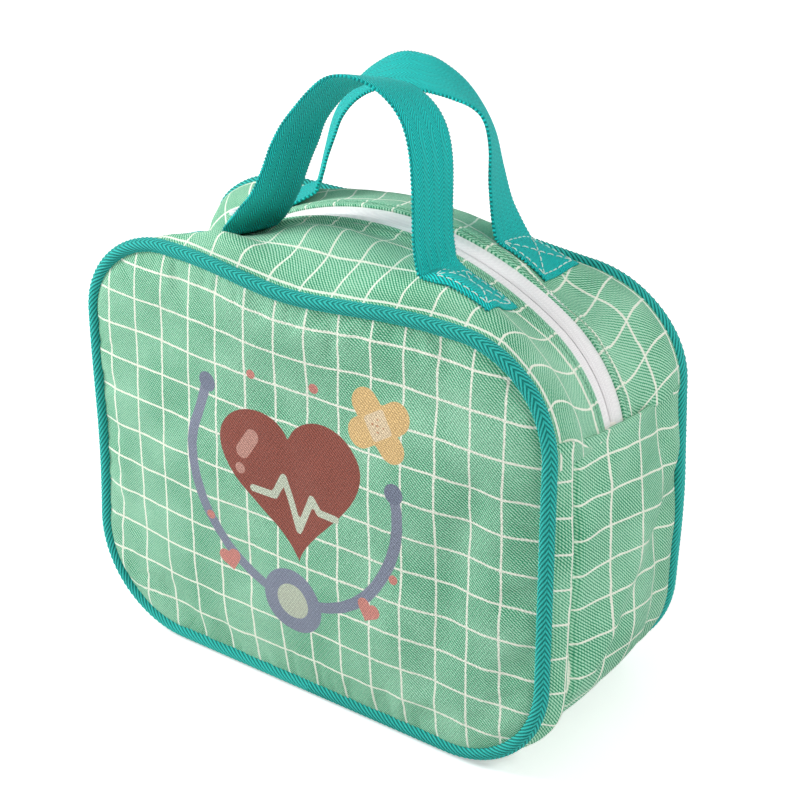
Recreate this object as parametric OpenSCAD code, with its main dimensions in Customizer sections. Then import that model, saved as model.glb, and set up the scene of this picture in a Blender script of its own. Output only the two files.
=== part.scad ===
// Soft toy doctor case: a padded canvas bag with a curved zip opening and two webbing handles.
// The front looks towards -Y, the width runs along X and the case stands on Z = 0.
// The cloth round the opening is cut at the height of the zip's ends, so that each lip of the
// mouth can be drawn outwards; the front lip carries the slider and the front handle.

/* [Case] */
// Overall width across the piping
case_w = 244; // [210:1:280]
// Height of the front and back panels with their piping
case_h = 194; // [180:1:215]
// Overall depth across the piping
case_d = 102; // [90:1:130]
// Outer radius of the top corners
top_corner_r = 45; // [36:1:56]
// Outer radius of the bottom corners
bottom_corner_r = 49; // [36:1:60]
// How far the middle of a panel stands out
panel_crown = 6; // [2:0.5:10]

/* [Cloth] */
// Thickness of the outer canvas
canvas_t = 1.2; // [0.8:0.1:2]
// Thickness of the foam behind the canvas of the gusset and the strips
foam_t = 4; // [2:0.5:6]
// Thickness of the lining inside
lining_t = 0.8; // [0.4:0.1:1.5]
// Width of the tape that binds a seam inside
binding_w = 3; // [2:0.5:4]
// Thickness of the tape that binds a seam inside
binding_t = 1.4; // [1:0.1:2]
// How far the bound seam stands in from the lining
binding_inset = 2; // [1.5:0.1:3]
// Thickness of the stiff board in the bottom
board_t = 2; // [1:0.5:4]

/* [Piping] */
// Diameter of the covered piping
piping_d = 6; // [5:0.5:8]
// Thickness of the tape that covers the piping cord
piping_tape_t = 1; // [0.5:0.1:1.5]

/* [Opening] */
// Height of the seam where the zip ends
opening_end_z = 146; // [130:1:150]
// Height of the zip at its crest
crest_z = 207.5; // [200:0.5:220]
// How far the crest lies right of the middle, because the soft top slumps to the left
crest_x = 12; // [-12:1:16]
// How far the zip's left end is drawn in from the side
left_draw_in = 14; // [8:1:18]
// How far the zip's right end is drawn in from the side
right_draw_in = 3; // [1:0.5:6]
// Radius of the zip's bend at the right
right_bend_r = 60; // [50:1:66]
// Height above which the sides are drawn in towards the zip
draw_in_z = 100; // [80:1:115]

/* [Zip] */
// Width of zip tape that shows between the strips
zip_w = 14; // [12:0.5:18]
// Thickness of the zip tape
tape_t = 0.8; // [0.5:0.1:1.2]
// Width of tape that is sewn under a strip
tape_lap = 3; // [2:0.5:5]
// Gap between the edges of the two tapes
tape_gap = 1.5; // [1.5:0.1:2]
// Width of one row of the coil
coil_w = 2.5; // [2:0.1:3]
// Height of the coil under the tape
coil_h = 1.6; // [1.2:0.1:2]
// Distance of the zip's stops from its left end
stop_inset = 2.5; // [2:0.5:4]
// How far along the zip the slider is parked from the left end
slider_rest = 62; // [10:1:80]
// Length of the slider
slider_l = 12; // [10:0.5:15]
// Width of the slider
slider_w = 9.2; // [8.6:0.1:10]
// Thickness of a plate of the slider
plate_t = 1.2; // [1:0.1:1.5]
// Length of the pull tab from its pin
pull_l = 22; // [18:1:26]
// Width of the pull tab
pull_w = 7; // [6:0.5:9]
// Thickness of the pull tab
pull_t = 1.4; // [1.2:0.1:2]
// Diameter of the pin of the pull tab
pin_d = 1.9; // [1.5:0.1:2.2]
// How far the pull tab stands off the zip at rest, in degrees
pull_lift = 16; // [14:1:25]

/* [Handles] */
// Width of the webbing
webbing_w = 25; // [20:1:28]
// Thickness of the webbing
webbing_t = 1.7; // [1.2:0.1:2.2]
// Distance from the zip's middle to the middle of a handle
handle_y = 26; // [24:1:28]
// Height of the top of a handle
handle_top_z = 283; // [270:1:300]
// Distance of the right leg from the middle
handle_leg_x = 47.5; // [42:0.5:52]
// Radius of the bend above the right leg
handle_bend_r = 27; // [20:1:32]
// Radius of the bend above the left leg
handle_left_bend_r = 29; // [20:1:34]
// Slope of the left leg, in degrees from level
handle_slope = 60; // [56:1:75]
// Distance from the middle to where a sewn end starts
sewn_x = 54; // [52:1:60]
// Length of a sewn end along the case
sewn_l = 29; // [22:1:32]
// How far the back handle leans inwards, in degrees
back_lean = 9; // [0:1:12]

/* [Stitching] */
// Width of a stitch
thread_w = 0.8; // [0.5:0.1:1.2]
// Height of a stitch above the cloth
thread_h = 0.4; // [0.3:0.1:0.6]
// Distance of a stitched line from the edge beside it
stitch_inset = 2.5; // [2:0.5:4]
// Distance from one stitch to the next
stitch_pitch = 5; // [4:0.5:7]

/* [Hidden] */
BODY_PARTS = ["panel_lower", "foam_lower", "lining_lower", "piping_lower", "cord_lower", "binding_lower"];
LIP_PARTS = ["panel_upper", "foam_upper", "lining_upper", "piping_upper", "cord_upper", "binding_upper",
    "strip", "strip_foam", "strip_lining", "zip_tape", "zip_coil", "zip_stop", "sewn_end_right",
    "sewn_end_left", "sewn_stitching", "edge_stitching"];
$fn = 96;

canvas_green = "#7cc4a0";
piping_teal = "#1f9e94";
webbing_teal = "#2aa69a";
zip_white = "#f3f1f2";
thread_mint = "#c8ece0";
foam_white = "#f4f2ea";
lining_cream = "#ece6d4";
board_grey = "#b9bbbd";

// Running clearance between pieces that move past each other
clearance = 0.3;
// Play between a soft face and the facets that it lies on
skin_play = 0.1;
sewn_lift = 3 * skin_play;
// Size of the blocks that cut the cloth at the opening's seam
far = 2 * (case_w + case_h);

half_w = case_w / 2;
piping_r = piping_d / 2;
// Faces of the foam and the lining, measured inwards from the outside of the canvas
foam_top = canvas_t + skin_play;
foam_bottom = foam_top + foam_t;
lining_top = foam_bottom + skin_play;
layers_t = lining_top + lining_t;
binding_top = layers_t + binding_inset;
// Depth at which the gusset meets the piping
edge_y = case_d / 2 - piping_d;
// Outer face of a panel at its rim
rim_y = case_d / 2 - piping_r + canvas_t;
// Outer face of a panel's lining, which lies flat against the gusset's edge
lining_y = edge_y + lining_t;
// Inner face of a panel's foam, which the seam squeezes at the rim
foam_y = lining_y + skin_play;
lip_y = zip_w / 2;
lip_z = opening_end_z + clearance;

// The zip's long arc passes through its crest and its drawn-in left end
arc_rise = crest_z - opening_end_z;
arc_reach = half_w - left_draw_in + crest_x;
arc_r = (arc_reach * arc_reach + arc_rise * arc_rise) / (2 * arc_rise);
arc_z = crest_z - arc_r;
arc_left_a = -atan2(arc_reach, arc_r - arc_rise);
// At the right the arc runs into a tighter bend that ends on the side
bend_dx = half_w - right_draw_in - right_bend_r - crest_x;
bend_dz = sqrt(pow(arc_r - right_bend_r, 2) - bend_dx * bend_dx);
bend_a = atan2(bend_dx, bend_dz);
// The strips are built a little past the seam and then cut there
past_seam = 8;
skin_left_a = -atan2(half_w + crest_x, opening_end_z - past_seam - arc_z);
skin_right_a = atan2(half_w - crest_x, opening_end_z - past_seam - arc_z);
skin_steps = 38;

// The tape lies a little under the strips' facets
tape_top = -canvas_t - 4 * skin_play;
tape_bottom = tape_top - tape_t;
coil_bottom = tape_bottom - coil_h;
slider_a = arc_left_a + mm_on_arc(slider_l / 2 + slider_rest);
under_strip_depths = spread(-edge_y, -lip_y - tape_lap - skin_play, 5);
plate_top = tape_top + clearance + plate_t;
pin_lift = plate_top + 2.7;
neck_w = tape_gap - 2 * clearance;

handle_foot_z = crest_z;
pivot_z = handle_foot_z + clearance + webbing_w / 2;
right_bend_z = handle_top_z - handle_bend_r;
left_bend_x = handle_leg_x - handle_bend_r;
left_bend_z = handle_top_z - handle_left_bend_r;
// Top of the straight left leg, where the bend hands over to it
left_leg_x = left_bend_x - handle_left_bend_r * sin(handle_slope);
left_leg_z = left_bend_z + handle_left_bend_r * cos(handle_slope);
left_foot_x = left_leg_x - (left_leg_z - handle_foot_z) / tan(handle_slope);

// Angle of a length measured along the zip's long arc
function mm_on_arc(mm) = mm / arc_r * 180 / PI;

// Lean of the zip's radius, from straight up, at a distance x from the middle
function arc_angle(x) = asin((x - crest_x) / arc_r);

// Length of a ray, leaning by a from straight up, to the far side of a circle centred at (dx, dz)
function ray_to_circle(dx, dz, r, a) =
    let (along = dx * sin(a) + dz * cos(a))
    along + sqrt(max(0, r * r - (dx * dx + dz * dz - along * along)));

// Length of a ray from (ox, oz), leaning by a, to the panel outline drawn in by inset
function ray_to_outline(ox, oz, a, inset) =
    let (
        right = sin(a) < 0 ? -1 : 1,
        up = cos(a) > 0,
        wide = half_w - inset,
        r = (up ? top_corner_r : bottom_corner_r) - inset,
        level_z = up ? case_h - inset : inset,
        side_l = abs(sin(a)) < 0.001 ? far : (right * wide - ox) / sin(a),
        side_z = oz + side_l * cos(a),
        level_l = abs(cos(a)) < 0.001 ? far : (level_z - oz) / cos(a),
        level_x = ox + level_l * sin(a)
    )
    side_z <= case_h - top_corner_r && side_z >= bottom_corner_r ? side_l
    : abs(level_x) <= wide - r ? level_l
    : ray_to_circle(right * (wide - r) - ox, level_z + (up ? -r : r) - oz, r, a);

// Distance from the arc's centre to the zip's middle line
function zip_ray(a) =
    let (bent = ray_to_circle(bend_dx, bend_dz, right_bend_r, a))
    a <= bend_a ? arc_r
    : bent * cos(a) >= bend_dz ? bent
    : (half_w - right_draw_in - crest_x) / sin(a);

// Share of the way from the piping's level to the zip's, at a depth y
function cover(y) = sin(90 * min(1, max(0, (edge_y - abs(y)) / (edge_y - lip_y))));

// Point on the top of the case, at a lean a and a depth y, lifted by off
function skin(a, y, off) =
    let (
        rim = ray_to_outline(crest_x, arc_z, a, 0),
        r = rim + (zip_ray(a) - rim) * cover(y) + off
    )
    [crest_x + r * sin(a), y, arc_z + r * cos(a)];

function spread(from, to, steps) = [for (i = [0:steps]) from + (to - from) * i / steps];
function turned(list) = [for (i = [len(list) - 1:-1:0]) list[i]];

// Solid through a row of closed outlines that all have the same even number of points, where
// each point of the first half lies across from its mate in the second half
module loft(rows) {
    n = len(rows[0]);
    last = (len(rows) - 1) * n;
    walls = [for (i = [0:n:last - 1], j = [0:n - 1])
        let (k = (j + 1) % n)
        each j < n / 2 ? [[i + j, i + k, i + n + k], [i + j, i + n + k, i + n + j]]
            : [[i + j, i + k, i + n + j], [i + k, i + n + k, i + n + j]]];
    caps = [for (j = [0:n / 2 - 2])
        let (k = n - 1 - j)
        each [[j, k, j + 1], [k, k - 1, j + 1],
            [last + j, last + j + 1, last + k], [last + k, last + j + 1, last + k - 1]]];
    polyhedron(points = [for (row = rows) each row], faces = concat(walls, caps), convexity = 6);
}

// Panel outline drawn in by inset, in the plane of the panel
module outline_2d(inset) {
    wide = half_w - inset;
    rt = top_corner_r - inset;
    rb = bottom_corner_r - inset;
    translate([-wide, bottom_corner_r])
        square([2 * wide, case_h - top_corner_r - bottom_corner_r]);
    translate([-wide + rt, case_h - top_corner_r])
        square([2 * (wide - rt), rt]);
    translate([-wide + rb, inset])
        square([2 * (wide - rb), rb]);
    for (s = [-1, 1]) {
        translate([s * (wide - rt), case_h - top_corner_r])
            circle(rt);
        translate([s * (wide - rb), bottom_corner_r])
            circle(rb);
    }
}

// Slab of the panel outline between two depths, or a ring of it
module outline_slab(y0, y1, inset, hole_inset = 0) {
    translate([0, y1, 0])
        rotate([90, 0, 0])
            linear_extrude(y1 - y0)
                difference() {
                    outline_2d(inset);
                    if (hole_inset > 0) outline_2d(hole_inset);
                }
}

// Ring sector about a line along Y, between two radii, two depths and two leans
module arc_bar(cx, cz, r0, r1, y0, y1, a0, a1) {
    translate([cx, 0, cz])
        rotate([90, 0, 0])
            rotate([0, 0, 90 - a1])
                rotate_extrude(angle = a1 - a0)
                    translate([r0, -y1])
                        square([r1 - r0, y1 - y0]);
}

module above_seam() {
    intersection() {
        children();
        translate([-far / 2, -far / 2, lip_z])
            cube(far);
    }
}

module below_seam() {
    intersection() {
        children();
        translate([-far / 2, -far / 2, opening_end_z - far])
            cube(far);
    }
}

// One layer of the gusset, between two distances from its outer face
module gusset_layer(inset0, inset1) {
    intersection() {
        outline_slab(-edge_y, edge_y, inset0, inset1);
        translate([-far / 2, -far / 2, draw_in_z - far])
            cube(far);
    }
    gusset_side(-1, left_draw_in, inset0, inset1);
    gusset_side(1, half_w - skin_x_right(), inset0, inset1);
}

// Where the zip's right end crosses the seam
function skin_x_right() =
    let (rise = opening_end_z - arc_z - bend_dz)
    rise <= 0 ? half_w - right_draw_in : crest_x + bend_dx + sqrt(pow(right_bend_r, 2) - rise * rise);

// Upper part of a side, drawn in towards the end of the zip
module gusset_side(s, draw_in, inset0, inset1) {
    depths = spread(-edge_y, edge_y, 10);
    rows = [for (z = spread(draw_in_z, opening_end_z, 5))
        let (
            share = pow((z - draw_in_z) / (opening_end_z - draw_in_z), 2),
            near = [for (y = depths) [s * (half_w - inset1 - draw_in * share * cover(y)), y, z]],
            away = [for (y = turned(depths)) [s * (half_w - inset0 - draw_in * share * cover(y)), y, z]]
        )
        s > 0 ? concat(near, away) : turned(concat(near, away))];
    loft(rows);
}

// One layer of cloth over the top of the case, over a list of depths
module strip_layer(depths, top_off, bottom_off) {
    rows = [for (a = spread(skin_left_a, skin_right_a, skin_steps))
        concat([for (y = turned(depths)) skin(a, y, bottom_off)], [for (y = depths) skin(a, y, top_off)])];
    above_seam()
        loft(rows);
}

// Puffed front panel between two faces, each with its depth at the rim and its crown
module pillow(outer_y, outer_crown, inner_y, inner_crown) {
    shares = [0.03, 0.5, 0.8, 1];
    leans = [for (i = [0:71]) (i + 10) * 5];
    rings = concat(
        [for (s = shares) pillow_ring(s, leans, inner_y, inner_crown)],
        [for (s = turned(shares)) pillow_ring(s, leans, outer_y, outer_crown)]);
    loft(rings);
}

function pillow_ring(s, leans, y, crown) =
    [for (a = leans)
        let (r = s * ray_to_outline(0, case_h / 2, a, piping_d))
        [r * sin(a), -y - crown * (1 - pow(s, 3)), case_h / 2 + r * cos(a)]];

// Round bar along the piping's whole loop at the front
module piping_loop(r) {
    rt = top_corner_r - piping_r;
    rb = bottom_corner_r - piping_r;
    wide = half_w - piping_r;
    translate([0, piping_r - case_d / 2, 0])
        rotate([90, 0, 0]) {
            for (s = [-1, 1]) {
                translate([s * wide, bottom_corner_r, 0])
                    rotate([-90, 0, 0])
                        cylinder(r = r, h = case_h - top_corner_r - bottom_corner_r);
                translate([s * (half_w - top_corner_r), case_h - top_corner_r, 0])
                    rotate([0, 0, s > 0 ? 0 : 90])
                        rotate_extrude(angle = 90)
                            translate([rt, 0])
                                circle(r);
                translate([s * (half_w - bottom_corner_r), bottom_corner_r, 0])
                    rotate([0, 0, s > 0 ? -90 : 180])
                        rotate_extrude(angle = 90)
                            translate([rb, 0])
                                circle(r);
            }
            translate([top_corner_r - half_w, case_h - piping_r, 0])
                rotate([0, 90, 0])
                    cylinder(r = r, h = case_w - 2 * top_corner_r);
            translate([bottom_corner_r - half_w, piping_r, 0])
                rotate([0, 90, 0])
                    cylinder(r = r, h = case_w - 2 * bottom_corner_r);
        }
}

module piping_sleeve() {
    color(piping_teal)
        difference() {
            piping_loop(piping_r);
            piping_loop(piping_r - piping_tape_t);
        }
}

module piping_cord() {
    color(foam_white)
        piping_loop(piping_r - piping_tape_t);
}

module panel() {
    color(canvas_green)
        pillow(rim_y, panel_crown, rim_y - canvas_t, panel_crown);
}

module panel_foam() {
    color(foam_white)
        pillow(rim_y - foam_top, panel_crown, foam_y, 0);
}

module panel_lining() {
    color(lining_cream)
        outline_slab(-lining_y, lining_t - lining_y, piping_d);
}

// Tape round the seam inside, below the opening
module binding_lower() {
    color(piping_teal)
        below_seam()
            outline_slab(-edge_y, binding_w - edge_y, binding_top, binding_top + binding_t);
}

// Tape round the seam inside, along a strip
module binding_upper() {
    color(piping_teal)
        strip_layer([-edge_y, binding_w - edge_y], -binding_top, -binding_top - binding_t);
}

module strip() {
    color(canvas_green)
        strip_layer(concat(under_strip_depths, -lip_y), 0, -canvas_t);
}

module strip_foam() {
    color(foam_white)
        strip_layer(under_strip_depths, -foam_top, -foam_bottom);
}

module strip_lining() {
    color(lining_cream)
        strip_layer(under_strip_depths, -lining_top, -layers_t);
}

// Bar along the zip's line between two depths and two heights from the crest's level
module zip_bar(y0, y1, bottom_off, top_off) {
    above_seam() {
        arc_bar(crest_x, arc_z, arc_r + bottom_off, arc_r + top_off, y0, y1, skin_left_a, bend_a);
        arc_bar(crest_x + bend_dx, arc_z + bend_dz, right_bend_r + bottom_off, right_bend_r + top_off,
            y0, y1, bend_a, 90);
    }
}

module zip_tape() {
    color(zip_white)
        zip_bar(-lip_y - tape_lap, -tape_gap / 2, tape_bottom, tape_top);
}

module zip_coil() {
    color(zip_white)
        zip_bar(-tape_gap / 2 - coil_w, -tape_gap / 2, coil_bottom, tape_bottom);
}

// Small clamp on the tape's edge below the slider
module zip_stop() {
    start = arc_left_a + mm_on_arc(stop_inset);
    color(zip_white)
        arc_bar(crest_x, arc_z, arc_r + tape_top, arc_r + tape_top + thread_w,
            -tape_gap / 2 - coil_w, -tape_gap / 2, start, start + mm_on_arc(1.5));
}

// Edge stitching beside the zip
module edge_stitching() {
    y = lip_y + stitch_inset;
    color(thread_mint)
        zip_bar(-y - thread_w / 2, -y + thread_w / 2, sewn_lift, sewn_lift + thread_h);
}

// Flat sewn end of the webbing with the fold that turns up to a leg of the handle
module sewn_end(s, foot_x) {
    leans = spread(arc_angle(s * (sewn_x + sewn_l)), arc_angle(s * sewn_x), 5);
    foot = [foot_x + s * webbing_t / 2, foot_x - s * webbing_t / 2];
    rows = [for (y = spread(-handle_y - webbing_w / 2, -handle_y + webbing_w / 2, 5))
        let (
            loop = concat(
                [for (a = leans) skin(a, y, sewn_lift + webbing_t)],
                [for (x = foot) [x, y, handle_foot_z]],
                [for (a = turned(leans)) skin(a, y, sewn_lift)])
        )
        s > 0 ? loop : turned(loop)];
    color(webbing_teal)
        loft(rows);
}

// Run of single stitches over a sewn end, from one place to another
module stitches(x0, y0, x1, y1) {
    run = norm([x1 - x0, y1 - y0]);
    count = round(run / stitch_pitch);
    nx = -(y1 - y0) / run * thread_w / 2;
    ny = (x1 - x0) / run * thread_w / 2;
    base = sewn_lift + webbing_t + 4 * skin_play;
    for (i = [0:count - 1])
        loft([for (t = [(i + 0.1) / count, (i + 0.9) / count])
            let (x = x0 + (x1 - x0) * t, y = y0 + (y1 - y0) * t)
            [
                skin(arc_angle(x + nx), y + ny, base),
                skin(arc_angle(x - nx), y - ny, base),
                skin(arc_angle(x - nx), y - ny, base + thread_h),
                skin(arc_angle(x + nx), y + ny, base + thread_h)
            ]]);
}

// Box with a cross, sewn through each end of the webbing
module sewn_stitching() {
    y0 = -handle_y - webbing_w / 2 + stitch_inset;
    y1 = -handle_y + webbing_w / 2 - stitch_inset;
    x0 = sewn_x + stitch_inset;
    x1 = sewn_x + sewn_l - stitch_inset;
    color(thread_mint)
        for (s = [-1, 1]) {
            stitches(s * x0, y0, s * x1, y0);
            stitches(s * x0, y1, s * x1, y1);
            stitches(s * x0, y0, s * x0, y1);
            stitches(s * x1, y0, s * x1, y1);
            stitches(s * x0, y0, s * x1, y1);
            stitches(s * x0, y1, s * x1, y0);
        }
}

// Row across the webbing, from its outer face at [x, z] to its inner face, with a half width
function webbing_row(outer, inner, half) =
    [
        [outer[0], -handle_y - half, outer[1]],
        [outer[0], half - handle_y, outer[1]],
        [inner[0], half - handle_y, inner[1]],
        [inner[0], -handle_y - half, inner[1]]
    ];

function bend_row(x, z, r, a) =
    webbing_row([x + r * cos(a), z + r * sin(a)],
        [x + (r - webbing_t) * cos(a), z + (r - webbing_t) * sin(a)], webbing_w / 2);

// Rows up a leg from its round foot: the face of the leg at a height z is slope * z further in
function leg_rows(outer_x, outer_z, slope, thickness) =
    [for (t = [80, 60, 40, 20, 0])
        let (z = pivot_z - webbing_w / 2 * sin(t), x = outer_x - (outer_z - z) * slope)
        webbing_row([x, z], [x + thickness, z], webbing_w / 2 * cos(t))];

// Handle whose legs end round, so that it swings over the fold below it
module handle() {
    left = leg_rows(left_leg_x, left_leg_z, 1 / tan(handle_slope), webbing_t / sin(handle_slope));
    right = leg_rows(handle_leg_x, right_bend_z, 0, -webbing_t);
    left_bend = [for (a = spread(90 + handle_slope, 90, 6))
        bend_row(left_bend_x, left_bend_z, handle_left_bend_r, a)];
    right_bend = [for (a = spread(80, 0, 8))
        bend_row(left_bend_x, right_bend_z, handle_bend_r, a)];
    color(webbing_teal)
        loft(concat(left, left_bend, right_bend, turned(right)));
}

// Back handle, leaning towards the front one
module back_leaning_handle() {
    translate([0, handle_y, pivot_z])
        rotate([back_lean, 0, 0])
            translate([0, -handle_y, -pivot_z])
                mirror([0, 1, 0])
                    handle();
}

// Two plates that hold the coils between them, joined by a neck at one end
module slider_body() {
    half = mm_on_arc(slider_l / 2);
    bottom = coil_bottom - clearance;
    color(zip_white)
        union() {
            arc_bar(crest_x, arc_z, arc_r + plate_top - plate_t, arc_r + plate_top,
                -slider_w / 2, slider_w / 2, slider_a - half, slider_a + half);
            arc_bar(crest_x, arc_z, arc_r + bottom - plate_t, arc_r + bottom,
                -slider_w / 2, slider_w / 2, slider_a - half, slider_a + half);
            arc_bar(crest_x, arc_z, arc_r + bottom - plate_t / 2, arc_r + plate_top - plate_t / 2,
                -neck_w / 2, neck_w / 2, slider_a, slider_a + half / 2);
            for (s = [0, 1])
                mirror([0, s, 0])
                    arc_bar(crest_x, arc_z, arc_r + bottom - plate_t / 2, arc_r + tape_bottom - clearance,
                        tape_gap / 2 + coil_w + clearance, slider_w / 2, slider_a - half, slider_a + half);
        }
}

// Turns what is drawn on top of an upright zip to the slider's place
module on_slider() {
    translate([crest_x, 0, arc_z])
        rotate([0, slider_a, 0])
            translate([0, 0, arc_r])
                children();
}

// Loop on the slider that holds the pull tab's pin
module slider_bridge() {
    eye_r = pin_d / 2 + clearance;
    color(zip_white)
        on_slider()
            difference() {
                union() {
                    translate([0, pull_w / 8, pin_lift])
                        rotate([90, 0, 0])
                            cylinder(r = eye_r + plate_t, h = pull_w / 4);
                    translate([-eye_r - plate_t, -pull_w / 8, plate_top + skin_play / 2])
                        cube([2 * (eye_r + plate_t), pull_w / 4, pin_lift - plate_top - skin_play / 2]);
                }
                translate([0, pull_w / 2, pin_lift])
                    rotate([90, 0, 0])
                        cylinder(r = eye_r, h = pull_w);
            }
}

// Pull tab with a forked end, hung on its pin and pointing down the zip
module pull_tab() {
    fork_gap = pull_w / 4 + 2 * clearance;
    fork_l = pin_d / 2 + clearance + plate_t + 1.5;
    color(zip_white)
        on_slider()
            translate([0, 0, pin_lift])
                rotate([0, pull_lift, 0]) {
                    difference() {
                        union() {
                            translate([-pull_l + pull_w / 2, -pull_w / 2, -pull_t / 2])
                                cube([pull_l - pull_w / 2, pull_w, pull_t]);
                            translate([-pull_l + pull_w / 2, 0, -pull_t / 2])
                                cylinder(d = pull_w, h = pull_t);
                            translate([0, pull_w / 2, 0])
                                rotate([90, 0, 0])
                                    cylinder(d = pin_d, h = pull_w);
                        }
                        translate([-fork_l, -fork_gap / 2, -pull_w / 2])
                            cube([2 * fork_l, fork_gap, pull_w]);
                        translate([-pull_l + pull_w / 2, 0, -pull_t])
                            cylinder(d = pull_w / 2, h = 2 * pull_t);
                    }
                    translate([0, pull_w / 2, 0])
                        rotate([90, 0, 0])
                            cylinder(d = pin_d, h = pull_w);
                }
}

module gusset() {
    color(canvas_green)
        gusset_layer(0, canvas_t);
}

module gusset_foam() {
    color(foam_white)
        gusset_layer(foam_top, foam_bottom);
}

module gusset_lining() {
    color(lining_cream)
        gusset_layer(lining_top, layers_t);
}

// Stiff board that lies on the lining between the bottom corners
module base_board() {
    depth = 2 * (edge_y - binding_w - 1);
    color(board_grey)
        translate([bottom_corner_r - half_w, -depth / 2, layers_t])
            cube([case_w - 2 * bottom_corner_r, depth, board_t]);
}

// Every piece that comes once at the front and once, mirrored, at the back
module paired(name) {
    if (name == "panel_lower") below_seam() panel();
    if (name == "foam_lower") below_seam() panel_foam();
    if (name == "lining_lower") below_seam() panel_lining();
    if (name == "piping_lower") below_seam() piping_sleeve();
    if (name == "cord_lower") below_seam() piping_cord();
    if (name == "binding_lower") binding_lower();
    if (name == "panel_upper") above_seam() panel();
    if (name == "foam_upper") above_seam() panel_foam();
    if (name == "lining_upper") above_seam() panel_lining();
    if (name == "piping_upper") above_seam() piping_sleeve();
    if (name == "cord_upper") above_seam() piping_cord();
    if (name == "binding_upper") binding_upper();
    if (name == "strip") strip();
    if (name == "strip_foam") strip_foam();
    if (name == "strip_lining") strip_lining();
    if (name == "zip_tape") zip_tape();
    if (name == "zip_coil") zip_coil();
    if (name == "zip_stop") zip_stop();
    if (name == "sewn_end_right") sewn_end(1, handle_leg_x - webbing_t / 2);
    if (name == "sewn_end_left") sewn_end(-1, left_foot_x + webbing_t / 2);
    if (name == "sewn_stitching") sewn_stitching();
    if (name == "edge_stitching") edge_stitching();
}

gusset();
gusset_foam();
gusset_lining();
base_board();
for (part = concat(BODY_PARTS, LIP_PARTS)) {
    paired(part);
    mirror([0, 1, 0]) paired(part);
}
handle();  // front_handle
back_leaning_handle();  // back_handle
slider_body();
slider_bridge();
pull_tab();
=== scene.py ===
# %% [markdown]
# # A soft toy doctor case in Blender
# The real object is a padded canvas bag: two puffed panels with piped edges, a gusset round the
# sides and the bottom, two strips beside a curved zip and a pair of webbing handles. The packed
# CAD model gives every piece its place and its motion. This lesson dresses each piece in cloth.

# %% Load the CAD model and keep its meshes
import math

import bmesh
import bpy
import numpy as np
from mathutils import Matrix, Vector, noise


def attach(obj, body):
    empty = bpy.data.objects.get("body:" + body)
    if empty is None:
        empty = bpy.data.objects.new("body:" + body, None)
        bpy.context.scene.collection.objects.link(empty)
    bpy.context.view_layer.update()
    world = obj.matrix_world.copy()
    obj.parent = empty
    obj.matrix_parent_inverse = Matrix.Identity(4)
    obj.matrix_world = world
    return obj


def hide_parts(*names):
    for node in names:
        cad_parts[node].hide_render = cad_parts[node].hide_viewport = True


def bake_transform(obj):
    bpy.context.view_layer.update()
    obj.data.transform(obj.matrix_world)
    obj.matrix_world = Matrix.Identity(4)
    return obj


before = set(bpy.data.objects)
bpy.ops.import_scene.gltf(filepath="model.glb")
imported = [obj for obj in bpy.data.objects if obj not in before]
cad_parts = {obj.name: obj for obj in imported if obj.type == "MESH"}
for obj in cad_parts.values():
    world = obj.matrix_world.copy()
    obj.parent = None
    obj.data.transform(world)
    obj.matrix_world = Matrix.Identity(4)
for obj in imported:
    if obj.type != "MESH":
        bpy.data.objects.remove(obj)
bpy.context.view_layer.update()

# %% [markdown]
# ## Sizes
# A sewn bag is cut from flat pieces, so its sizes are few: the panel's outline, the depth, and
# the line of the zip. All lengths below are millimetres; they become metres in one place, where
# a mesh is made.

# %% Sizes of the case
CASE_W, CASE_H, CASE_D = 244.0, 194.0, 102.0    # over the piping
TOP_R, BOTTOM_R = 45.0, 49.0                    # corners of the panels
PIPING_R = 3.0
EDGE_Y = CASE_D / 2 - 2 * PIPING_R              # where the piping meets gusset and strips
SEAM_Z = 146.0                                  # height of the zip's two ends
CREST_X, CREST_Z = 12.0, 207.5                  # the zip's highest point
LEFT_DRAW, RIGHT_DRAW = 14.0, 3.0               # how far the zip's ends stay inside the width
RIGHT_BEND = 60.0                               # radius where the zip turns down at the right
LIP_Y = 7.0                                     # the strips' folded edges, from the middle
GRID = 16.0                                     # from one printed line to the next
SIDES = {-1: "front", 1: "back"}

ARC_REACH = CASE_W / 2 - LEFT_DRAW + CREST_X
ARC_RISE = CREST_Z - SEAM_Z
ARC_R = (ARC_REACH ** 2 + ARC_RISE ** 2) / (2 * ARC_RISE)
ARC_Z = CREST_Z - ARC_R
BEND_DX = CASE_W / 2 - RIGHT_DRAW - RIGHT_BEND - CREST_X
BEND_DZ = math.sqrt((ARC_R - RIGHT_BEND) ** 2 - BEND_DX ** 2)
BEND_A = math.atan2(BEND_DX, BEND_DZ)
print("zip arc radius %.1f mm about z %.1f" % (ARC_R, ARC_Z))

# %% [markdown]
# ## Small tools
# One function turns a written hex colour into the linear numbers that shaders use, one adds a
# node, and one makes a mesh from points and faces. A cloth piece is a shell: an outer face, an
# inner face and the walls between them, made from two grids of points. Each panel, strip and
# piping loop is one piece on the real case.

# %% Helpers
def linear(hex_colour):
    parts = [int(hex_colour[i:i + 2], 16) / 255 for i in (1, 3, 5)]
    return [c / 12.92 if c <= 0.04045 else ((c + 0.055) / 1.055) ** 2.4 for c in parts] + [1.0]


def add(tree, kind, links=None, **settings):
    """Adds a node; links maps an input's name or number to a socket or a value."""
    n = tree.nodes.new(kind)
    for key, value in settings.items():
        setattr(n, key, value)
    for key, value in (links or {}).items():
        if isinstance(value, bpy.types.NodeSocket):
            tree.links.new(value, n.inputs[key])
        else:
            n.inputs[key].default_value = value
    return n


def unit(vectors):
    return vectors / np.linalg.norm(vectors, axis=-1, keepdims=True)


def smoothstep(x, a, b):
    t = np.clip((np.asarray(x, float) - a) / (b - a), 0, 1)
    return t * t * (3 - 2 * t)


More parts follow.
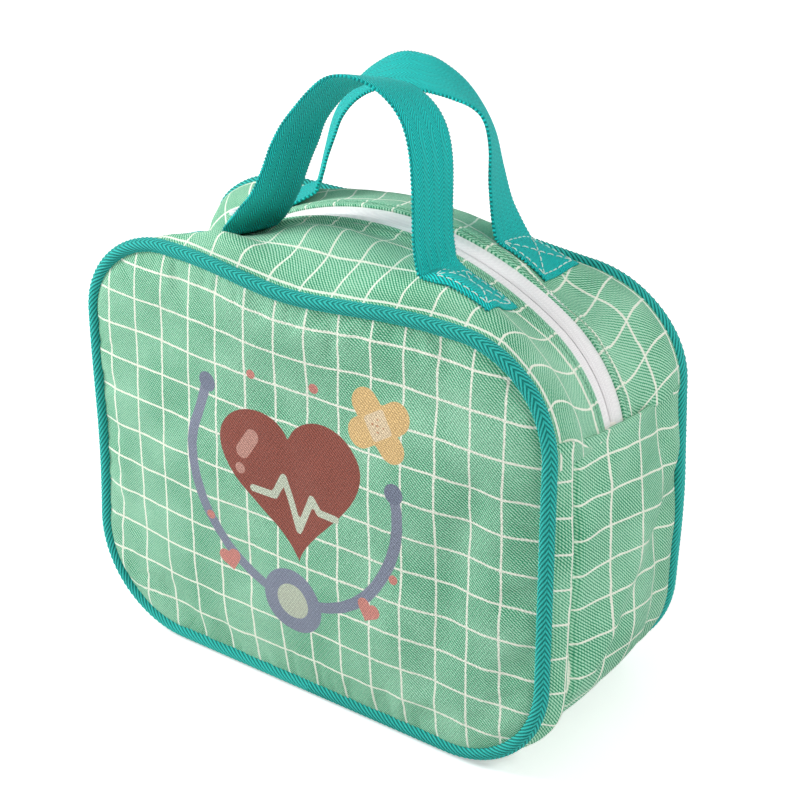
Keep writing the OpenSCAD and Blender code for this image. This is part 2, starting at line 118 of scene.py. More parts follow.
def bell(x, middle, width):
    return np.exp(-((np.asarray(x, float) - middle) / width) ** 2)


def xyz(x, y, z):
    """Points from three arrays or numbers, side by side in the last axis."""
    return np.stack(np.broadcast_arrays(x, y, z), -1)


def place(name, data):
    o = bpy.data.objects.new(name, data)
    bpy.context.scene.collection.objects.link(o)
    return o


def make_mesh(name, points_mm, faces, uv=None, corner_uv=None):
    """A mesh object; its cloth map, in mm, is given for each point or for each corner of a face."""
    mesh = bpy.data.meshes.new(name)
    mesh.from_pydata((np.asarray(points_mm) / 1000).tolist(), [], faces)
    if uv is not None:
        loops = np.zeros(len(mesh.loops), np.int32)
        mesh.loops.foreach_get("vertex_index", loops)
        corner_uv = np.asarray(uv)[loops]
    if corner_uv is not None:
        layer = mesh.uv_layers.new(name="Cloth")
        layer.data.foreach_set("uv", (np.asarray(corner_uv) / 1000).astype(np.float32).ravel())
    mesh.update()
    return place(name, mesh)


def grid_faces(n, m, start=0, flip=False):
    faces = []
    for i in range(n - 1):
        for j in range(m - 1):
            a, b = start + i * m + j, start + (i + 1) * m + j
            quad = (a, b, b + 1, a + 1)
            faces.append(quad[::-1] if flip else quad)
    return faces


def outward(o):
    """Turns the faces of a closed mesh outwards."""
    bm = bmesh.new()
    bm.from_mesh(o.data)
    bmesh.ops.recalc_face_normals(bm, faces=bm.faces)
    if bm.calc_volume(signed=True) < 0:
        bmesh.ops.reverse_faces(bm, faces=bm.faces)
    bm.to_mesh(o.data)
    bm.free()
    o.data.polygons.foreach_set("use_smooth", [True] * len(o.data.polygons))
    return o


def shell(name, outer, inner, uv):
    """Closed piece of cloth between two grids of points, n x m x 3."""
    n, m = outer.shape[:2]
    points = np.concatenate([outer.reshape(-1, 3), inner.reshape(-1, 3)])
    faces = grid_faces(n, m) + grid_faces(n, m, n * m, flip=True)
    rim = [(i, 0) for i in range(n)] + [(n - 1, j) for j in range(1, m)] \
        + [(i, m - 1) for i in range(n - 2, -1, -1)] + [(0, j) for j in range(m - 2, 0, -1)]
    ids = [i * m + j for i, j in rim]
    for a, b in zip(ids, ids[1:] + ids[:1]):
        faces.append((b, a, a + n * m, b + n * m))
    both = np.concatenate([uv.reshape(-1, 2), uv.reshape(-1, 2)])
    return outward(make_mesh(name, points, faces, both))


def ripples(points, size, height, seed):
    """Soft uneven height over points in mm, the same on every run."""
    flat = points.reshape(-1, 3)
    values = [noise.noise(Vector((p[0] / size + seed, p[1] / size, p[2] / size))) for p in flat]
    return height * np.array(values).reshape(points.shape[:-1])


def dress(piece, finish, slot, *nodes, side=None):
    """Gives a piece its finish, and the CAD nodes that it stands for; the slot is not used.

    With a side, the nodes are named without their first word, and the piece's transform is baked
    into its mesh.
    """
    piece.data.materials.append(finish)
    if side is None:
        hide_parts(*nodes)
    else:
        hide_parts(*[SIDES[side] + node for node in nodes])
        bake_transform(piece)

# %% [markdown]
# ## The line of the zip and the panel's outline
# Seen from the front, every point of the top lies on a ray from the centre of the zip's long
# arc. The same rays cross the panel's outline, so the strips are spun between the two curves.

# %% Curves of the case
def ray_to_circle(dx, dz, r, a):
    """How far a ray leaning by a runs until it leaves a circle of radius r about (dx, dz)."""
    along = dx * np.sin(a) + dz * np.cos(a)
    return along + np.sqrt(np.maximum(0, r * r - (dx * dx + dz * dz - along * along)))


def ray_to_outline(ox, oz, a, inset):
    """How far a ray from (ox, oz) runs to the panel's rounded outline, drawn in by inset."""
    a = np.asarray(a, float)
    s, c = np.sin(a), np.cos(a)
    right = np.where(s < 0, -1.0, 1.0)
    up = c > 0
    wide = CASE_W / 2 - inset
    r = np.where(up, TOP_R, BOTTOM_R) - inset
    level = np.where(up, CASE_H - inset, inset)
    side_l = np.where(np.abs(s) < 1e-3, 1e6, (right * wide - ox) / np.where(np.abs(s) < 1e-3, 1, s))
    side_z = oz + side_l * c
    level_l = np.where(np.abs(c) < 1e-3, 1e6, (level - oz) / np.where(np.abs(c) < 1e-3, 1, c))
    level_x = ox + level_l * s
    corner = ray_to_circle(right * (wide - r) - ox, level + np.where(up, -r, r) - oz, r, a)
    on_side = (side_z <= CASE_H - TOP_R) & (side_z >= BOTTOM_R)
    return np.where(on_side, side_l, np.where(np.abs(level_x) <= wide - r, level_l, corner))


def zip_ray(a):
    """The zip's distance from the arc's centre: the arc, the tighter bend, then straight down."""
    a = np.asarray(a, float)
    bent = ray_to_circle(BEND_DX, BEND_DZ, RIGHT_BEND, a)
    side = (CASE_W / 2 - RIGHT_DRAW - CREST_X) / np.maximum(0.05, np.sin(a))
    return np.where(a <= BEND_A, ARC_R, np.where(bent * np.cos(a) >= BEND_DZ, bent, side))


def disc(x, z, cx, cz, r):
    """Signed distance to a disc, as bar is to a line with round ends; both are negative inside."""
    return np.hypot(x - cx, z - cz) - r


def bar(x, z, x0, z0, x1, z1, r):
    dx, dz = x1 - x0, z1 - z0
    t = np.clip(((x - x0) * dx + (z - z0) * dz) / (dx * dx + dz * dz), 0, 1)
    return np.hypot(x - x0 - dx * t, z - z0 - dz * t) - r


def cover(y):
    """How far a strip has risen from the piping, 0, to the zip's line, 1."""
    return np.sin(np.pi / 2 * np.clip((EDGE_Y - np.abs(y)) / (EDGE_Y - LIP_Y), 0, 1))


def loop_at(d, inset):
    """Point and outward normal on the panel's outline, d mm along it from the bottom's middle."""
    wide, rt, rb = CASE_W / 2 - inset, TOP_R - inset, BOTTOM_R - inset
    low = wide - rb
    parts = [low, rb * math.pi / 2, CASE_H - TOP_R - BOTTOM_R, rt * math.pi / 2, 2 * (wide - rt),
             rt * math.pi / 2, CASE_H - TOP_R - BOTTOM_R, rb * math.pi / 2, low]
    total = sum(parts)
    found = []
    for q in np.asarray(d, float) % total:
        k = 0
        while q > parts[k] and k < 8:
            q -= parts[k]
            k += 1
        if k in (0, 8):
            px, pz, ang = (q if k == 0 else q - low), inset, -math.pi / 2
        elif k in (1, 3, 5, 7):
            cx = (wide - (rb if k in (1, 7) else rt)) * (1 if k in (1, 3) else -1)
            cz = BOTTOM_R if k in (1, 7) else CASE_H - TOP_R
            r = rb if k in (1, 7) else rt
            ang = -math.pi / 2 + (k - 1) / 2 * math.pi / 2 + q / r
            px, pz = cx + r * math.cos(ang), cz + r * math.sin(ang)
        elif k == 2:
            px, pz, ang = wide, BOTTOM_R + q, 0.0
        elif k == 4:
            px, pz, ang = wide - rt - q, CASE_H - inset, math.pi / 2
        else:
            px, pz, ang = -wide, CASE_H - TOP_R - q, math.pi
        found.append((px, pz, math.cos(ang), math.sin(ang)))
    return (*np.array(found).T, total)


# how far the two top edges stand above or below the flat outline, from left to right
TOP_X = [-122, -95, -80, -66, -50, -35, -20, -5, 10, 30, 50, 70, 95, 122]
FRONT_TOP = [-2.9, -2.9, -2.2, -0.8, -0.5, -1.1, -2.7, -3.3, -1.9, 0.5, 2.8, 3.3, 2.8, 3.6]
BACK_TOP = [-4.5, -5.0, -5.4, -5.4, -5.0, -4.6, -4.0, -3.6, -3.2, -3.0, -3.0, -3.2, -3.5, -3.5]


def top_shift(x, heights):
    """The listed heights, run together so that no kink shows."""
    return sum(0.2 * np.interp(x + d, TOP_X, heights) for d in (-12, -6, 0, 6, 12))


def settle(p):
    """How the soft case stands: both panels lean, and their edges sag between the corners."""
    p = np.array(p, float)
    x, y, z = p[..., 0].copy(), p[..., 1].copy(), p[..., 2].copy()
    u = (z - 97) / 97
    front = smoothstep(-y, 5, 46)
    back = smoothstep(y, 5, 46)
    p[..., 1] += front * (-1.0 + 2.3 * u) + back * (1.0 - 4.5 * u)
    top = smoothstep(z, 135, 192)
    middle = np.where(np.abs(x) < 88, np.cos(np.clip(x / 88, -1, 1) * np.pi / 2) ** 2, 0)
    near_front = smoothstep(-y, 12, 46)
    near_back = smoothstep(y, 12, 46)
    p[..., 2] += top * (top_shift(x, FRONT_TOP) * near_front + top_shift(x, BACK_TOP) * near_back)
    p[..., 1] += top * middle * (-4.9 * near_front + 5.0 * near_back)
    # the zip dives between the panels before it reaches its left end
    p[..., 2] -= 6.0 * smoothstep(-x, 60, 84) * bell(y, 0, 17) * smoothstep(z, 156, 170)
    # the sides draw in a little low down, and the left shoulder swells at the back
    p[..., 0] += 2.8 * smoothstep(-x, 60, 112) * smoothstep(-y, 5, 46) * bell(z, 80, 50)
    p[..., 0] -= 4.6 * smoothstep(x, 60, 112) * near_back * (1 - smoothstep(z, 22, 105)) * smoothstep(z, 0, 12)
    p[..., 0] -= 8.0 * smoothstep(-x, 66, 104) * smoothstep(y, 8, 30) * bell(z, 166, 24)
    slack = np.sin(x * 0.05 + 0.6) * 0.9 * smoothstep(z, 120, 185)
    p[..., 1] += slack * near_front
    return p


LOOP = loop_at([0], PIPING_R)[4]
print("piping loop %.0f mm long" % LOOP)

# %% [markdown]
# ## Canvas with a printed grid
# The cloth is cotton canvas in a twill weave, printed green with a hand-drawn cream grid. A
# picture of the weave would blur when the camera comes near, so the weave is computed: slanted
# ribs about 1 mm apart cross finer threads, and both drive the colour and the bump. The UV map
# of every cloth piece is in metres of flat cloth, so one recipe fits all of them; the front's
# canvas only adds the print.

# %% Canvas material
CANVAS_LIT, CANVAS_MID, CANVAS_DEEP = "#b6e6c9", "#72c49a", "#268c62"
PRINT_CREAM = "#fbfdee"
WAVE = 0.3142    # a wave texture of this scale has a period of one unit, here a millimetre


def new_material(name):
    material = bpy.data.materials.new(name)
    material.use_nodes = True
    material.node_tree.nodes.clear()
    return material, material.node_tree


def calc(t, operation, *values):
    """One step of arithmetic on sockets and numbers."""
    return add(t, "ShaderNodeMath", dict(enumerate(values)), operation=operation).outputs[0]


def vector(t, operation, *values):
    return add(t, "ShaderNodeVectorMath", dict(enumerate(values)), operation=operation).outputs[0]


def remap(t, value, low, high, to_low=0.0, to_high=1.0):
    return add(t, "ShaderNodeMapRange", {"Value": value, "From Min": low, "From Max": high,
                                         "To Min": to_low, "To Max": to_high}).outputs[0]


def cloud_of(t, where, scale, detail, output="Fac"):
    return add(t, "ShaderNodeTexNoise", {"Vector": where, "Scale": scale, "Detail": detail}).outputs[output]


def mix(t, factor, a, b, **settings):
    return add(t, "ShaderNodeMix", {0: factor, 6: a, 7: b}, data_type="RGBA", **settings).outputs[2]


def cloth_mm(t):
    """The place on the flat cloth in millimetres, from the piece's own map."""
    return vector(t, "MULTIPLY", add(t, "ShaderNodeUVMap", uv_map="Cloth").outputs[0], (1000, 1000, 1000))


def surface(t, colour, height, strength, depth_m, **inputs):
    """Ends a material: a bump and the shader, whose other inputs are given by name."""
    bump = add(t, "ShaderNodeBump", {"Height": height, "Strength": strength, "Distance": depth_m})
    named = {name.replace("_", " "): value for name, value in inputs.items()}
    shader = add(t, "ShaderNodeBsdfPrincipled",
                 {"Base Color": colour, "Normal": bump.outputs[0], "IOR": 1.5, **named})
    add(t, "ShaderNodeOutputMaterial", {"Surface": shader.outputs[0]})


def hand_drawn_grid(t, mm, rib):
    """Cream lines 0.9 mm wide and 16 mm apart; they wander, and they are worn on the ribs."""
    wander = vector(t, "SUBTRACT", cloud_of(t, mm, 0.045, 2.0, "Color"), (0.5, 0.5, 0.5))
    axes = add(t, "ShaderNodeSeparateXYZ", {0: vector(t, "MULTIPLY_ADD", wander, (2.0, 2.0, 0), mm)})
    width = remap(t, cloud_of(t, mm, 0.5, 2.0), 0.3, 0.7, 0.36, 0.62)
    lines = []
    for axis in (0, 1):
        # ping-pong rises to a grid line every 16 mm and falls again, so its far end counts too
        near = calc(t, "PINGPONG", axes.outputs[axis], GRID)
        gap = calc(t, "MINIMUM", near, calc(t, "SUBTRACT", GRID, near))
        lines.append(remap(t, calc(t, "SUBTRACT", gap, width), 0.12, -0.12))
    line = calc(t, "MAXIMUM", *lines)
    return calc(t, "MULTIPLY", line, remap(t, rib, 0.0, 0.9, 0.84, 1.0))


def canvas_material(name, rib_mm, relief, motifs=()):
    material, t = new_material(name)
    mm = cloth_mm(t)
    # the threads wander by about a millimetre
    shift = vector(t, "SUBTRACT", cloud_of(t, mm, 0.035, 3.0, "Color"), (0.5, 0.5, 0.5))
    thread_mm = vector(t, "MULTIPLY_ADD", shift, (2.2, 2.2, 2.2), mm)
    slanted = add(t, "ShaderNodeMapping", {"Vector": thread_mm, "Rotation": (0, 0, math.radians(-52))}).outputs[0]
    twill = add(t, "ShaderNodeTexWave", {"Vector": slanted, "Scale": WAVE / rib_mm, "Distortion": 1.2,
                "Detail": 2.0, "Detail Scale": 1.8}, wave_type="BANDS", bands_direction="X").outputs["Fac"]
    # the finer threads that cross the ribs are 0.92 mm apart
    cross = add(t, "ShaderNodeTexWave", {"Vector": thread_mm, "Scale": 0.34, "Distortion": 0.6,
                "Detail": 1.0, "Detail Scale": 2.0}, wave_type="BANDS", bands_direction="Y").outputs["Fac"]
    rib = calc(t, "MULTIPLY_ADD", twill, 0.55, calc(t, "MULTIPLY", twill, cross))
    fleck = cloud_of(t, mm, 1.3, 4.0)
    tone = calc(t, "MULTIPLY_ADD", fleck, 0.75, rib)
    tone = calc(t, "MULTIPLY_ADD", cloud_of(t, mm, 0.03, 4.0), 0.9, tone)
    ramp = add(t, "ShaderNodeValToRGB", {"Fac": remap(t, tone, 0.87, 1.58)})
    ramp.color_ramp.elements[0].color = linear(CANVAS_DEEP)
    ramp.color_ramp.elements[1].color = linear(CANVAS_LIT)
    ramp.color_ramp.elements.new(0.5).color = linear(CANVAS_MID)
    colour = mix(t, hand_drawn_grid(t, mm, rib), ramp.outputs[0], linear(PRINT_CREAM))
    for attribute, ink_hex in motifs:
        distance = add(t, "ShaderNodeAttribute", attribute_name=attribute).outputs["Fac"]
        # ink sits thinner on the ribs and lets the flecks show
        shade = calc(t, "MULTIPLY", remap(t, rib, 0.0, 1.3, 0.62, 1.3), remap(t, fleck, 0.35, 0.7, 0.82, 1.2))
        inked = mix(t, 1.0, linear(ink_hex), shade, blend_type="MULTIPLY")
        colour = mix(t, remap(t, distance, 0.12, -0.12), colour, inked)
    # matt cotton: rough, with a little fuzz that catches light at the edges
    surface(t, colour, calc(t, "MULTIPLY_ADD", fleck, 0.5, rib), relief, 0.0004, Roughness=0.9,
            Sheen_Weight=0.12, Sheen_Roughness=0.6, Specular_IOR_Level=0.2)
    return material


canvas = canvas_material("Printed cotton canvas", rib_mm=0.95, relief=0.5)
print("made", canvas.name)

# %% [markdown]
# ## Herringbone tape, webbing and the other finishes
# The piping's tape and the handles' webbing are woven in slanted ribs that meet in columns. On the
# piping two columns meet in one chevron along the middle; on the webbing eight columns lie side by
# side. A triangle wave across the tape tilts the ribs to and fro, which is all a herringbone is.

# %% Herringbone cloth
def herringbone(name, light, deep, column_mm, pitch_mm, slope, depth_mm):
    material, t = new_material(name)
    mm = cloth_mm(t)
    axes = add(t, "ShaderNodeSeparateXYZ", {0: mm})
    zigzag = calc(t, "PINGPONG", axes.outputs[1], column_mm)
    along = calc(t, "MULTIPLY_ADD", zigzag, slope, axes.outputs[0])
    along = calc(t, "MULTIPLY_ADD", cloud_of(t, mm, 0.35, 2.0), 0.5, along)
    rib = remap(t, calc(t, "SINE", calc(t, "MULTIPLY", along, 2 * math.pi / pitch_mm)), -0.8, 0.6)
    # a shallow groove runs where two columns meet
    groove = remap(t, calc(t, "MINIMUM", zigzag, column_mm - 0.12), 0.0, 0.3)
    height = calc(t, "MULTIPLY", rib, remap(t, groove, 0.0, 1.0, 0.6, 1.0))
    tone = calc(t, "MULTIPLY_ADD", cloud_of(t, mm, 2.2, 4.0), 0.9, height)
    ramp = add(t, "ShaderNodeValToRGB", {"Fac": remap(t, tone, 0.3, 1.45)})
    ramp.color_ramp.elements[0].color = linear(deep)
    ramp.color_ramp.elements[1].color = linear(light)
    surface(t, ramp.outputs[0], height, 0.8, depth_mm / 1000, Roughness=0.75,
            Sheen_Weight=0.05, Sheen_Roughness=0.5, Specular_IOR_Level=0.15)
    return material


def plain_weave(name, light, deep, pitch_mm, rough=0.85, bump_mm=0.15):
    """Fine plain weave or felted thread, on Object coordinates."""
    material, t = new_material(name)
    mm = vector(t, "MULTIPLY", add(t, "ShaderNodeTexCoord").outputs["Object"], (1000, 1000, 1000))
    waves = [add(t, "ShaderNodeTexWave", {"Vector": mm, "Scale": WAVE / pitch_mm, "Distortion": 0.8, "Detail": 1.0},
                 wave_type="BANDS", bands_direction=d).outputs["Fac"] for d in ("X", "Z")]
    tone = calc(t, "MULTIPLY_ADD", cloud_of(t, mm, 1.1, 4.0), 0.8, calc(t, "MULTIPLY", *waves))
    colour = mix(t, remap(t, tone, 0.1, 1.2), linear(deep), linear(light))
    surface(t, colour, tone, 0.5, bump_mm / 1000, Roughness=rough)
    return material


RIB_PITCH, RIB_SLOPE = 2.6, 1.6    # the piping tape's ribs
TAPE_COLUMN = 9.43                 # half the piping's girth, so that one chevron shows
# the light and the deep colour, then column, pitch, slope and depth of the ribs, in mm
piping_tape = herringbone("Herringbone cotton tape", "#3accc2", "#066a62", TAPE_COLUMN, RIB_PITCH, RIB_SLOPE, 0.4)
webbing = herringbone("Herringbone webbing", "#22ebe4", "#02716d", 3.1, 1.9, 2.0, 0.6)
# polyester is a little shinier than cotton, and foam is the roughest of all
zip_tape = plain_weave("Woven polyester zip tape", "#fbf9f9", "#ebe8ea", 0.6)
thread = plain_weave("Polyester sewing thread", "#e2f7f0", "#b9e2d8", 0.7, 0.6)
green_thread = plain_weave("Polyester thread dyed green", "#9fd6bb", "#6fb894", 0.7, 0.6)
lining = plain_weave("Plain woven cotton lining", "#f1ecdd", "#ddd5c0", 1.0)
foam = plain_weave("Open cell foam wadding", "#f6f4ec", "#dedbcf", 1.6, 0.95, 0.3)
cord_fill = plain_weave("Twisted cotton filler cord", "#f2efe4", "#d3cfc0", 1.2)
binding = plain_weave("Woven binding tape", "#36ab9f", "#137b71", 0.9)
# moulded plastics are smooth, with hardly any relief
board = plain_weave("Grey polypropylene board", "#bcbec0", "#a9abad", 2.5, 0.5, 0.05)
nylon = plain_weave("Moulded white nylon", "#f6f5f7", "#e6e4e8", 1.5, 0.35, 0.02)
print("made the tape, webbing, thread and lining finishes")

# %% [markdown]
# ## Panels
# Each panel is a puffed sandwich of canvas, foam and lining. It could be inflated from a flat
# cut, and that is done here: the canvas is a fine grid whose edge is held in the seam, and the
# cloth solver blows it up a little, so it puckers at the seam as real cloth does.

# %% Grid that fills the rounded outline
PANEL_INSET = 4.2                      # from the outline over the piping to the canvas's edge
PANEL_CROWN = 4.6                      # how far the middle stands out before the solver runs
PUFF_LIMIT = 2.0                       # the most that the solver may move a point
COARSE, FINE = (78, 62), (188, 150)    # points across and up, in the solver and in the piece


def panel_grid(nx, nz):
    """Points of the panel's plane, and how near each is to the edge, from 0 to 1."""
    u, v = np.meshgrid(np.linspace(-1, 1, nx), np.linspace(-1, 1, nz), indexing="ij")
    s = np.maximum(np.abs(u), np.abs(v))
    safe = np.maximum(s, 1e-6)
    eu, ev = u / safe, v / safe
    mid_z = CASE_H / 2
    lean = np.arctan2(eu * CASE_W / 2, ev * CASE_H / 2)
    rim = ray_to_outline(0, mid_z, lean, PANEL_INSET)
    return rim * np.sin(lean) * s, mid_z + rim * np.cos(lean) * s, s


def panel_sheet(side, x, z, s):
    """Points of a panel's outer face; side is -1 at the front and 1 at the back."""
    puff = PANEL_CROWN * (1 - s ** 2.6)
    y = side * (CASE_D / 2 - PIPING_R + 0.6 + puff)
    return settle(xyz(x, y, z))


def inflate(points, steps=14, pressure=1.2, slack=0.012):
    """Runs the cloth solver on a grid with a held edge and returns the puffed points."""
    n, m = points.shape[:2]
    o = make_mesh("inflating", points.reshape(-1, 3), grid_faces(n, m))
    hold = o.vertex_groups.new(name="seam")
    edge = [i * m + j for i in range(n) for j in range(m) if i in (0, n - 1) or j in (0, m - 1)]
    hold.add(edge, 1.0, "REPLACE")
    cloth = o.modifiers.new("Cloth", "CLOTH")
    cloth.settings.vertex_group_mass = "seam"
    cloth.settings.use_pressure = True
    cloth.settings.uniform_pressure_force = pressure
    cloth.settings.shrink_min = -slack
    cloth.settings.mass = 0.3
    cloth.settings.bending_stiffness = 0.8
    cloth.settings.effector_weights.gravity = 0
    cloth.collision_settings.use_collision = False
    scene = bpy.context.scene
    cloth.point_cache.frame_start, cloth.point_cache.frame_end = 1, steps
    for f in range(1, steps + 1):
        scene.frame_set(f)
    shaped = o.evaluated_get(bpy.context.evaluated_depsgraph_get())
    out = np.array([v.co for v in shaped.data.vertices]).reshape(n, m, 3) * 1000
    scene.frame_set(1)
    bpy.data.objects.remove(o)
    return out


def fold(x, z, x0, z0, x1, z1, width, height):
    """A soft ridge or valley, as an outward height, along a line from one point to another."""
    return height * bell(bar(x, z, x0, z0, x1, z1, 0), 0, width)


# each fold runs from x, z to x, z; then its half width and its height, below zero for a valley
FOLDS = {-1: ((86, 128, 66, 34, 9, -1.9), (101, 140, 97, 50, 8, 1.3), (48, 66, 30, 16, 12, 1.2),
              (-52, 178, -98, 132, 12, -1.3), (-104, 92, -84, 26, 11, -1.0), (20, 172, 74, 158, 10, -1.2)),
         1: ((-90, 150, -60, 60, 13, -1.8), (70, 160, 92, 90, 12, -1.5),
             (-20, 40, 50, 28, 12, 1.2), (0, 176, 60, 150, 12, -1.2))}


def resample(grid, nx, nz):
    """The values of a coarse grid at the points of a finer one."""
    iu, iv = np.linspace(0, grid.shape[0] - 1, nx), np.linspace(0, grid.shape[1] - 1, nz)
    a = np.minimum(iu.astype(int), grid.shape[0] - 2)
    b = np.minimum(iv.astype(int), grid.shape[1] - 2)
    fu, fv = (iu - a)[:, None, None], (iv - b)[None, :, None]
    low = grid[a][:, b] * (1 - fu) + grid[a + 1][:, b] * fu
    high = grid[a][:, b + 1] * (1 - fu) + grid[a + 1][:, b + 1] * fu
    return low * (1 - fv) + high * fv


def panel_face(side):
    x, z, s = panel_grid(*FINE)
    points = panel_sheet(side, x, z, s)
    flat = panel_sheet(side, *panel_grid(*COARSE))
    # the back's grid is turned over, so that the pressure pushes it outwards too
    moved = np.clip(inflate(flat[::-side])[::-side] - flat, -PUFF_LIMIT, PUFF_LIMIT)
    points = points + resample(moved, *FINE)
    print("panel", side, "puffed by up to %.1f mm" % np.abs(moved).max())
    soft = ripples(points, 34, 1.5, 3.1 + side) + ripples(points, 14, 0.45, 9.7 - side)
    folds = sum(fold(x, z, *f) for f in FOLDS[side])
    points[..., 1] += side * (soft + folds) * (1 - s ** 5)
    return points, x, z, s

# %% [markdown]
# ## The three layers of a panel
# The canvas follows the puffed face. The wadding fills the room between it and a flat face at the
# seam, and the lining lies on that. The cloth map is the flat cut, and it also sets where the
# printed lines fall; here and below, whole squares are added only to keep its numbers positive.

# %% Canvas, foam and lining of a panel
PANEL_GRID_X, PANEL_GRID_Z = 6.71 * GRID, 191.13 - 0.71 * GRID
CLOTH = 1.2                                   # thickness of the canvas
LAYERS = ("canvas", "foam", "lining")


def dress_layers(side, pieces, material, nodes):
    """Dresses the canvas, the wadding and the lining of a sandwich."""
    for piece, finish, slot, names in zip(pieces, (material, foam, lining), LAYERS, nodes):
        dress(piece, finish, slot, *names, side=side)


def build_panel(side, material):
    word = SIDES[side]
    face, x, z, s = panel_face(side)
    into = np.array([0, -side, 0])
    uv = np.stack([x * (-side) + PANEL_GRID_X, z - PANEL_GRID_Z + 40 * GRID], -1)
    # the two hidden layers take every third point
    few = (slice(None, None, 3), slice(None, None, 3))
    pad = face[few] + into * (1.35 + 0.3 * s[few])[..., None]
    seam = pad.copy()
    seam[..., 1] = settle(xyz(x[few], side * (EDGE_Y + 0.9), z[few]))[..., 1]
    lining_top = seam + into * 0.1
    order = slice(None, None, -side)
    pieces = [shell(word + name, outer[order], inner[order], cloth[order]) for name, outer, inner, cloth in (
        ("_panel_canvas", face, face + into * CLOTH, uv),
        ("_panel_wadding", pad, seam, uv[few]),
        ("_panel_lining", lining_top, lining_top + into * 0.8, uv[few]))]
    dress_layers(side, pieces, material, [(n + "_lower", n + "_upper") for n in ("_panel", "_foam", "_lining")])
    print(word, "panel:", sum(len(p.data.polygons) for p in pieces), "faces")
    return pieces, x, z

# %% [markdown]
# ## The print on the front
# The front carries a print: a heart with a stethoscope round it, crossed plasters and dots. Each
# motif is a signed distance, in millimetres, stored at the points of the canvas. The distance
# changes evenly from point to point, so the material can cut a crisp edge at zero between them.

# %% Distances of the motifs
def box(x, z, cx, cz, hx, hz, r, degrees):
    c, s = math.cos(math.radians(degrees)), math.sin(math.radians(degrees))
    px, pz = (x - cx) * c + (z - cz) * s, (z - cz) * c - (x - cx) * s
    qx, qz = np.abs(px) - hx + r, np.abs(pz) - hz + r
    return np.hypot(np.maximum(qx, 0), np.maximum(qz, 0)) + np.minimum(np.maximum(qx, qz), 0) - r


def outline(x, z, points):
    """Signed distance to a closed outline, negative inside it."""
    p = np.array(points, float)
    near, inside = np.full(x.shape, 1e9), np.zeros(x.shape, bool)
    for (x0, z0), (x1, z1) in zip(p, np.roll(p, -1, 0)):
        near = np.minimum(near, bar(x, z, x0, z0, x1, z1, 0))
        crossed = (z0 > z) != (z1 > z)
        inside ^= crossed & (x < (x1 - x0) * (z - z0) / ((z1 - z0) or 1e-9) + x0)
    return np.where(inside, -near, near)


def heart(x, z, cx, cz, w, degrees=0):
    """A plump heart, w mm wide, turned about its middle."""
    a = np.linspace(0, 2 * np.pi, 73)[:-1]
    hx = w / 32 * 16 * np.sin(a) ** 3
    hz = w / 32 * (13.4 * np.cos(a) - 4.6 * np.cos(2 * a) - 1.6 * np.cos(3 * a) - 0.7 * np.cos(4 * a) + 2.2)
    c, d = math.cos(math.radians(degrees)), math.sin(math.radians(degrees))
    return outline(x, z, np.stack([cx + hx * c - hz * d, cz + hx * d + hz * c], -1))


def loop_line(x, z, points, r):
    return np.minimum.reduce([bar(x, z, *a, *b, r) for a, b in zip(points, points[1:])])


def paint_motifs(o, x, z):
    """Stores the motif distances on a canvas shell, whose inner face repeats the outer one."""
    def any_of(*distances):
        return np.minimum.reduce(distances)

    swing = np.linspace(-2.0, 1.9, 26)
    hoop = [(-3 + 54 * math.sin(q) * (1 + 0.03 * math.cos(3 * q)), 101 - 52 * math.cos(q)) for q in swing]
    pulse = [(-24, 96), (-13, 96), (-8, 106), (0, 84), (7, 101), (11, 96), (20, 96)]
    cross_x, cross_z = 41, 145
    fields = {
        "print_tube": any_of(loop_line(x, z, hoop, 2.6), loop_line(x, z, [hoop[0], (-50, 134)], 2.6)),
        "print_ends": any_of(disc(x, z, -48.5, 137.5, 4.6), disc(x, z, *hoop[-1], 4.6)),
        "print_heart": heart(x, z, -3, 103, 74, 6),
        "print_shine": any_of(bar(x, z, -29, 112, -24, 120, 3.4), disc(x, z, -30.5, 103.5, 2.6)),
        "print_pulse": loop_line(x, z, pulse, 1.7),
        "print_chest": disc(x, z, -4, 48, 15.5),
        "print_inner": disc(x, z, -4, 48, 8.4),
        "print_plaster": any_of(*[box(x, z, cross_x, cross_z, 17, 6.6, 6.6, turn) for turn in (32, -48)]),
        "print_pad": box(x, z, cross_x, cross_z, 5.6, 5.6, 1.4, 32),
        "print_dots": any_of(*[disc(x, z, cross_x + 2.7 * i, cross_z + 2.7 * j, 0.75)
                               for i, j in ((0, 0), (1, 0), (-1, 0), (0, 1), (0, -1))]),
        "print_small": any_of(heart(x, z, -38, 56, 12, 18), heart(x, z, 36, 58, 12, -16),
                              disc(x, z, -48, 75, 2.2), disc(x, z, 49, 78, 2.2),
                              disc(x, z, 8, 152, 2.4), disc(x, z, -24, 149, 2.2)),
    }
    for name, values in fields.items():
        layer = o.data.attributes.new(name, "FLOAT", "POINT")
        layer.data.foreach_set("value", np.tile(values.reshape(-1), 2).astype(np.float32))


motif_inks = (("print_tube", "#8b93a8"), ("print_ends", "#7d869c"), ("print_heart", "#994e3f"),
              ("print_shine", "#cf988a"), ("print_pulse", "#d3dcc6"), ("print_chest", "#8b93a8"),
              ("print_inner", "#c9d2bd"), ("print_plaster", "#efc98a"), ("print_pad", "#f4dcb6"),
              ("print_dots", "#d79a72"), ("print_small", "#dd8f84"))
front_canvas = canvas_material("Printed cotton canvas with motifs", rib_mm=1.1, relief=0.7, motifs=motif_inks)
front_pieces, *front_grid = build_panel(-1, front_canvas)
paint_motifs(front_pieces[0], *front_grid)
back_pieces = build_panel(1, canvas)[0]

# %% [markdown]
# ## Gusset
# One long strip of the same sandwich runs down one side, under the bottom and up the other side.
# Behind the front piping the seam's turned edge pushes up a ridge, then the cloth dips, and on
# the side a long crease runs down from the end of the zip. All of that is a height over the flat
# strip, added along the outline's normal.

